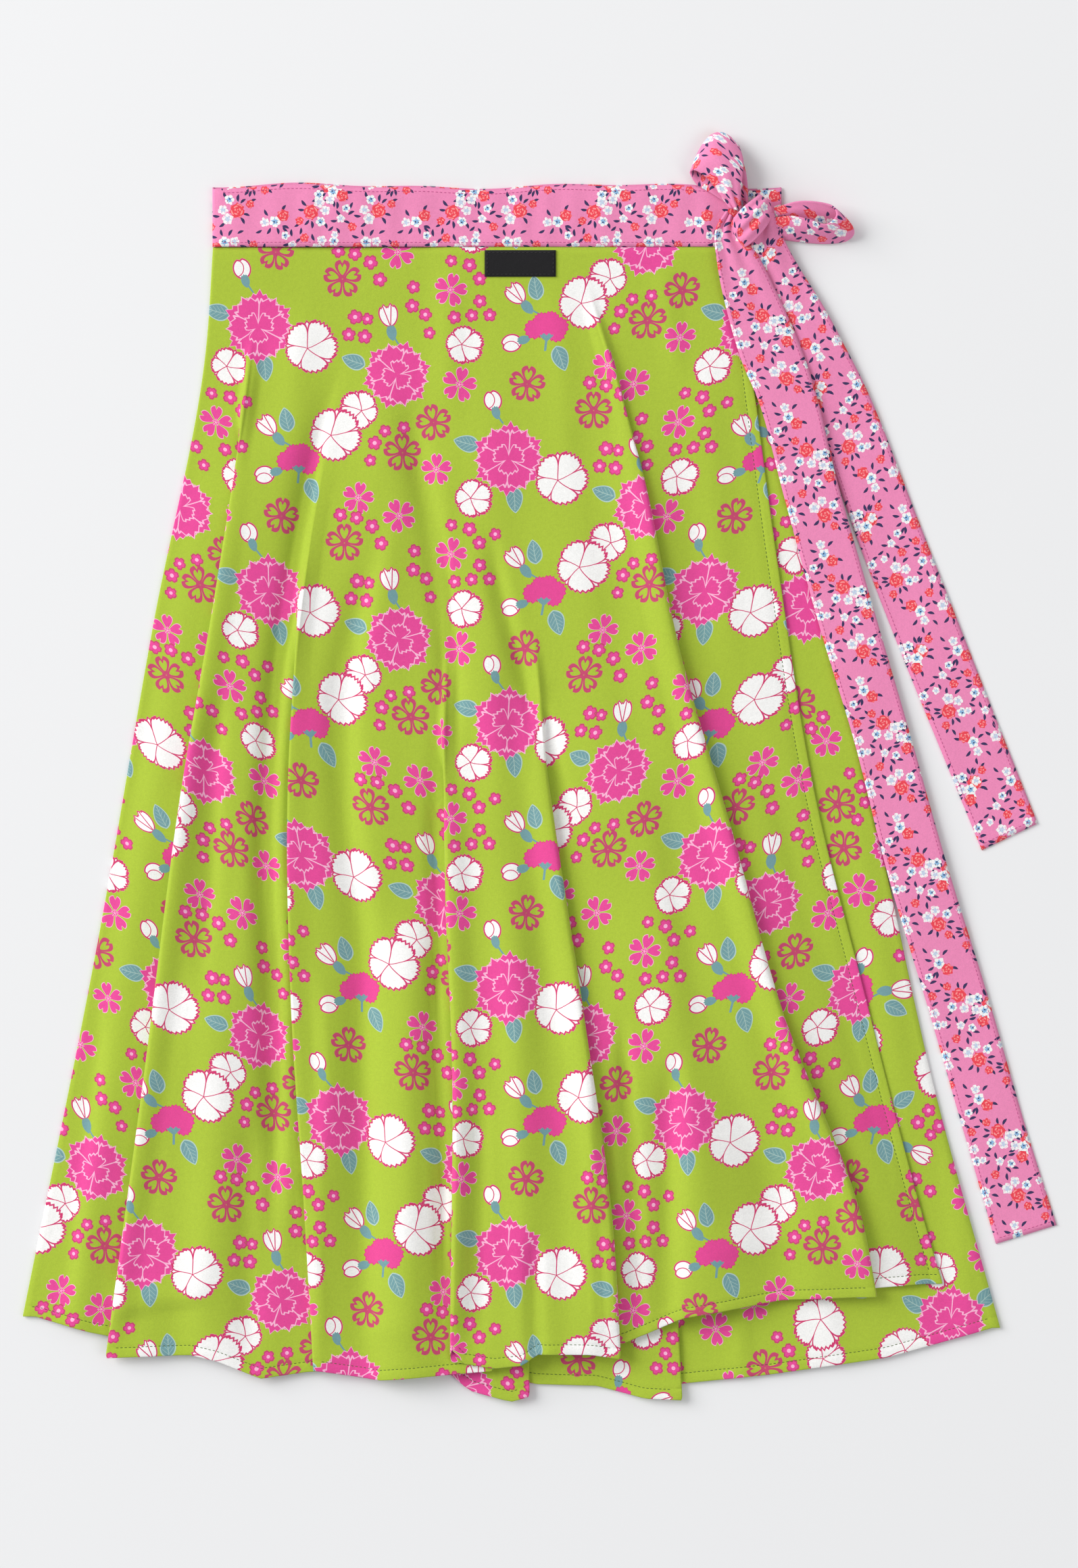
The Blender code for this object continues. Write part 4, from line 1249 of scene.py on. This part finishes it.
def tie_points(table, samples, gathers, columns=17):
    """A tie from the knot to its free end: one row for each place along it."""
    rows = np.arange(len(table["height"]))
    at = np.linspace(0, rows[-1], samples)
    height = np.maximum(smooth(at, rows, table["height"]), STRIP / 2)[:, None]
    share = np.linspace(0, 1, columns)[None, :]
    grids = []
    for axis in range(2):
        first, last = ([point[axis] for point in table[name]] for name in ("edge", "other_edge"))
        low, high = smooth(at, rows, first)[:, None], smooth(at, rows, last)[:, None]
        grids.append(low * (1 - share) + high * share)
    x, down = grids
    run = lengths(x[:, columns // 2][None], down[:, columns // 2][None]).T
    gathered = np.exp(-run / 34)
    folds = 1.4 * gathered * np.sin(2 * np.pi * gathers * share + 0.5 + run / 40)
    soft_bends = 0.45 * np.sin(run / 31 + 2.5 * share) * np.sin(run / 83 + 0.7) * rise(run, 20, 90)
    pressed = -0.22 * (2 * share - 1) ** 8
    z = height + folds + np.maximum(soft_bends, -0.1) + pressed
    return x, down, np.maximum(z, DOUBLE_WALL / 2 + 0.05), run


TIES = {"long": tie_points(TIE_LONG, 262, 2.4), "short": tie_points(TIE_SHORT, 168, 1.7)}


def tie(name, points, shift, turn):
    x, down, z, run = points
    flat_u = np.repeat(run, x.shape[1], axis=1)
    mesh, flat = cloth_grid(name, x, down, z, flat_u, lengths(x, down))
    print_on(mesh, flat, DITSY, shift, turn)
    return cloth_object(name, mesh, DOUBLE_WALL, ditsy_cloth)


long_tie = tie("long_tie_strip", TIES["long"], (11, 5), 0)
short_tie = tie("short_tie_strip", TIES["short"], (64, 31), 0)

# %% [markdown]
# ## The bow
# A bow loop leaves the knot, turns at its tip and comes back below or behind itself. Its table gives
# the strip's two edges and its middle at eight places, each across, down and high, and a curve
# through the three makes the strip's hollow section. The knot is the same strip wrapped over the
# roots of the loops, narrower than it is flat, so it creases along its length.

# %% Bow tables
LOOP_UPPER = {
    "edge":       [(120, -24, 9.5), (113, -34, 11), (106, -42.5, 12.5), (98.5, -47.5, 12),
                   (95.3, -46.5, 7.5), (99.5, -39.5, 5.2), (107.5, -34.5, 6.4), (120, -26.5, 6.6)],
    "middle":     [(124.5, -22.5, 11), (120, -34.5, 14), (117.5, -46, 16), (112, -59, 15),
                   (109.5, -71, 7.5), (112, -62, 3.2), (118, -46, 6.0), (126, -30, 6.8)],
    "other_edge": [(128, -20.5, 9.5), (127, -32, 12), (128, -44, 14), (128.5, -54, 12.5),
                   (126, -63.5, 7.5), (129.5, -52, 5.6), (131.5, -40, 8.4), (132, -27, 7.6)],
}
LOOP_SIDE = {
    "edge":       [(146, -5, 4.4), (156, -4.5, 3.0), (170, -3, 1.8), (184, -2.5, 1.6),
                   (195, -4.5, 1.8), (188, -8.5, 1.6), (172, -11.5, 2.0), (148, -13, 4.8)],
    "middle":     [(147, -11, 7.0), (158, -11, 8.5), (171, -9.5, 9.5), (184.5, -8, 9.5),
                   (198.5, -10.5, 8), (190, -17, 8), (171, -20, 8.5), (149, -18, 7.2)],
    "other_edge": [(148, -18, 9.5), (160, -18.5, 13), (171, -16, 14.5), (181, -13, 15),
                   (187.5, -19, 15.5), (183, -25.7, 14), (165, -28, 13), (148, -24, 9.4)],
}
KNOT_WRAP = {
    "edge":       [(140, -31, 6.5), (139, -32, 10.5), (134.5, -28.5, 14.8), (129, -24, 16),
                   (124.3, -19, 14.8), (121.6, -14.5, 10.8), (122, -12, 6.5)],
    "middle":     [(144.5, -27, 7), (144, -27, 12), (139.5, -22, 16.8), (134, -15.5, 17.6),
                   (128.5, -10.5, 16.2), (124.5, -7, 12), (124.5, -6, 6.8)],
    "other_edge": [(147, -21, 6.5), (147, -19.5, 10.5), (144, -13, 14), (139.5, -7, 14.6),
                   (134.5, -2, 13), (130.5, 0.5, 10), (129, 0.8, 6.5)],
}


def loop_points(table, samples, columns, crease_height, crease_count):
    """A strip through a table of edges and middles, with lengthwise creases that fade outwards."""
    rows = np.arange(len(table["middle"]))
    at = np.linspace(0, rows[-1], samples)
    share = np.linspace(0, 1, columns)[None, :]
    grids = []
    for axis in range(3):
        first, middle, last = (
            smooth(at, rows, [point[axis] for point in table[name]])[:, None]
            for name in ("edge", "middle", "other_edge"))
        grids.append(first * (1 - share) * (1 - 2 * share) + middle * 4 * share * (1 - share)
                     + last * share * (2 * share - 1))
    x, down, z = grids
    from_knot = np.minimum(at, rows[-1] - at)[:, None]
    fading = np.exp(-from_knot / 1.4) if crease_count > 0 else 1.0
    waves = np.sin(2 * np.pi * abs(crease_count) * share + 0.7 + 0.3 * from_knot)
    return x, down, z + crease_height * fading * waves * np.sin(np.pi * share) ** 0.7


def strip_from(name, table, samples, columns, crease_height, crease_count, shift):
    x, down, z = loop_points(table, samples, columns, crease_height, crease_count)
    flat_u = np.repeat(lengths(x.T, down.T, z.T).mean(axis=0)[:, None], x.shape[1], axis=1)
    mesh, flat = cloth_grid(name, x, down, z, flat_u, lengths(x, down, z))
    print_on(mesh, flat, DITSY, shift)
    return cloth_object(name, mesh, DOUBLE_WALL, ditsy_cloth)


upper_loop = strip_from("upper_loop_strip", LOOP_UPPER, 96, 29, 1.2, 2.2, (20, 44))
side_loop = strip_from("side_loop_strip", LOOP_SIDE, 96, 25, 0.7, 1.6, (73, 12))
knot = strip_from("knot_strip", KNOT_WRAP, 46, 31, 0.9, -2.6, (40, 10))

# %% [markdown]
# ## The label
# A black woven patch is caught in the waist seam in the middle of the front. It is left bare. It
# lies on the over-wrap, so its points are made from the over-wrap's surface and moved out, and the
# edges are pressed down a little where they are sewn.

# %% Label
LABEL_WALL = 0.7


def label_points(columns=28, rows=12):
    x, down = np.meshgrid(np.linspace(*LABEL["across"], columns), np.linspace(*LABEL["down"], rows))
    from_side = np.minimum(x - LABEL["across"][0], LABEL["across"][1] - x)
    from_end = np.minimum(down - LABEL["down"][0], LABEL["down"][1] - down)
    pressed = 0.25 * np.minimum(rise(from_side, 0, 2.5), rise(from_end, 0, 2.5))
    return x, down, over_surface(x, down) + WALL / 2 + LABEL_WALL / 2 + 0.15 + pressed


black_weave = bpy.data.materials.new("black_label_weave")
black_weave.use_nodes = True
black_ground = black_weave.node_tree.nodes.new("ShaderNodeRGB")
black_ground.outputs[0].default_value = dye(24, 23, 25)
woven(black_weave.node_tree, black_weave.node_tree.nodes["Principled BSDF"], black_ground.outputs[0], 0.8)

label_at = label_points()
label_mesh, _ = cloth_grid("woven_label", *label_at, label_at[0], label_at[1])
label = cloth_object("woven_label", label_mesh, LABEL_WALL, black_weave)

# %% [markdown]
# ## Stitching
# Rows of stitching are small, but they say how a garment is made. Each stitch is a short bead of
# thread, made with create_uvsphere and one matrix, which stretches it, turns it along its row and
# sets it on the cloth. The thread of the skirt's hems is a dark green, and the ties' is pink.

# %% Rows of stitches
STITCH_PITCH, STITCH_LENGTH = 2.7, 1.9
THREAD_HALF = 0.24       # half the thread's thickness
CHAIN = 30               # stitches made together


def stitch_rows(name, rows, finish, lift):
    """One object for several rows of stitches. A row is a list of places (across, down, height).
    Short chains are made on their own and joined, which is far quicker than one long one."""
    mesh = bpy.data.meshes.new(name)
    whole = bmesh.new()
    for places in rows:
        places = np.array(places, float)
        run = np.concatenate([[0], np.cumsum(np.linalg.norm(np.diff(places, axis=0), axis=1))])
        count = int(run[-1] / STITCH_PITCH)
        at = (np.arange(count) + 0.5) * STITCH_PITCH
        middles = np.stack([np.interp(at, run, places[:, axis]) for axis in range(3)], axis=1)
        ahead = np.stack([np.interp(at + 0.5, run, places[:, axis]) for axis in range(3)], axis=1)
        for first in range(0, count, CHAIN):
            chain = bmesh.new()
            for middle, front in zip(middles[first:first + CHAIN], ahead[first:first + CHAIN]):
                direction = Vector((front[0] - middle[0], middle[1] - front[1], front[2] - middle[2]))
                turned = direction.to_track_quat("Z", "Y").to_matrix().to_4x4()
                size = Matrix.Diagonal((THREAD_HALF * MM, THREAD_HALF * MM, STITCH_LENGTH / 2 * MM, 1))
                place = Matrix.Translation(in_frame(middle[0], middle[1], middle[2] + lift))
                bmesh.ops.create_uvsphere(chain, u_segments=6, v_segments=4, radius=1,
                                          matrix=place @ turned @ size)
            chain.to_mesh(mesh)
            chain.free()
            whole.from_mesh(mesh)
    whole.to_mesh(mesh)
    whole.free()
    mesh.shade_smooth()
    mesh.materials.append(finish)
    made = bpy.data.objects.new(name, mesh)
    bpy.context.scene.collection.objects.link(made)
    print(name, len(mesh.polygons), "faces")
    return made


def thread(name, colour):
    made = bpy.data.materials.new(name)
    made.use_nodes = True
    tree = made.node_tree
    shader = tree.nodes["Principled BSDF"]
    coordinates = tree.nodes.new("ShaderNodeTexCoord")
    twist = tree.nodes.new("ShaderNodeTexWave")
    twist.inputs["Scale"].default_value = 900
    twist.bands_direction = "DIAGONAL"
    tree.links.new(coordinates.outputs["Object"], twist.inputs["Vector"])
    plain = tree.nodes.new("ShaderNodeRGB")
    plain.outputs[0].default_value = colour
    # Darker diagonal bands on the thread: painted shade of the grooves between its twisted plies, since the
    # bead itself is smooth.
    dark = tuple(value * 0.7 for value in colour[:3]) + (1,)
    twist_groove_shaded = paint(plain.outputs[0], dark, Field(twist.outputs["Fac"]) * 0.5)
    tree.links.new(twist_groove_shaded, shader.inputs["Base Color"])
    shader.inputs["Roughness"].default_value = 0.55
    return made


def open_runs(points, row):
    """The stretches of one row of a panel that lie open, between its folds."""
    x, down, z, shown = points
    runs, current = [], []
    for column, is_shown in enumerate(shown):
        if is_shown:
            current.append((x[row, column], down[row, column], z[row, column]))
        elif len(current) > 1:
            runs.append(current)
            current = []
        else:
            current = []
    return runs + ([current] if len(current) > 1 else [])


green_thread = thread("green_thread", dye(74, 98, 34))
pink_thread = thread("pink_thread", dye(205, 92, 150))
black_thread = thread("black_thread", dye(40, 38, 40))

HEM_ROW = -len(HEM_STEPS) + 2
over = PANEL_POINTS["over"]
hem_rows = open_runs(over, HEM_ROW) + open_runs(PANEL_POINTS["under"], HEM_ROW)
edge_column = over[0].shape[1] - len(HEM_STEPS) + 2
hem_rows.append([(over[0][row, edge_column], over[1][row, edge_column], over[2][row, edge_column])
                 for row in range(0, over[0].shape[0] - 6, 2)])
hem_stitching = stitch_rows("hem_stitching", hem_rows, green_thread, WALL / 2 + 0.05)

# the first column of the band's upper layer
BAND_TOP_FIRST = sum(BAND_COLUMNS[part] for part in ("short_side", "turn", "back", "turn"))
band_rows = [[(BAND[0][row, column], BAND[1][row, column], BAND[2][row, column])
              for column in range(BAND_TOP_FIRST, BAND[0].shape[1])] for row in (1, 13)]
tie_rows = []
for x, down, z, _ in TIES.values():
    for column in (1, 15):
        tie_rows.append([(x[row, column], down[row, column], z[row, column])
                         for row in range(8, len(x) - 1)])
    tie_rows.append([(x[-2, column], down[-2, column], z[-2, column]) for column in range(1, 16)])
band_stitching = stitch_rows("band_stitching", band_rows, pink_thread, DOUBLE_WALL / 2 + 0.05)
tie_stitching = stitch_rows("tie_stitching", tie_rows, pink_thread, DOUBLE_WALL / 2 + 0.05)

x, down, z = label_at
label_rows = [[(x[r, c], down[r, c], z[r, c]) for c in range(1, 27)] for r in (1, 10)]
label_rows += [[(x[r, c], down[r, c], z[r, c]) for r in range(1, 11)] for c in (1, 26)]
label_stitching = stitch_rows("label_stitching", label_rows, black_thread, LABEL_WALL / 2 + 0.05)

# %% [markdown]
# ## The pieces on one body
# The skirt is one body, so every piece rides on it. Each replaces the plain solid that it stands for,
# and its row in the table lists the finish that it takes and what size its cloth was cut to. Stitching
# goes with the cloth that it holds.

# %% Bodies, slots and cut sizes
GREEN, PINK = "floral_cloth", "ditsy_cloth"
# piece, node, slot, cut (width, length) in metres, area where the cut isn't a rectangle, how it is
# held, what it rests on, and what is sewn to it
SHEETS = [
    (over_wrap, "front_over", GREEN, (0.86, 0.72), 0.43, "laid", [back, under_wrap], [hem_stitching]),
    (under_wrap, "front_under", GREEN, (0.46, 0.74), 0.25, "laid", [back], []),
    (back, "back_panel", GREEN, (0.62, 0.71), 0.34, "laid", [], []),
    (waistband, "waistband", PINK, (0.89, 0.039), None, "folded", [back, over_wrap], [band_stitching]),
    (long_tie, "tie_long", PINK, (0.68, 0.039), None, "laid", [over_wrap, short_tie], [tie_stitching]),
    (short_tie, "tie_short", PINK, (0.42, 0.039), None, "laid", [over_wrap, under_wrap], []),
    (upper_loop, "bow_loop_upper", PINK, (0.105, 0.024), None, "folded", [waistband], []),
    (side_loop, "bow_loop_side", PINK, (0.11, 0.018), None, "folded", [waistband], []),
    (knot, "bow_knot", PINK, (0.036, 0.022), None, "gathered", [upper_loop, side_loop], []),
    (label, "label_patch", "label_weave", (0.0452, 0.0168), None, "laid", [over_wrap], [label_stitching]),
]
for piece, node, slot, cut, area, held, below, sewn in SHEETS:
    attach(piece, "root")
    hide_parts(node)
    for stitching in sewn:
        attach(stitching, "root")
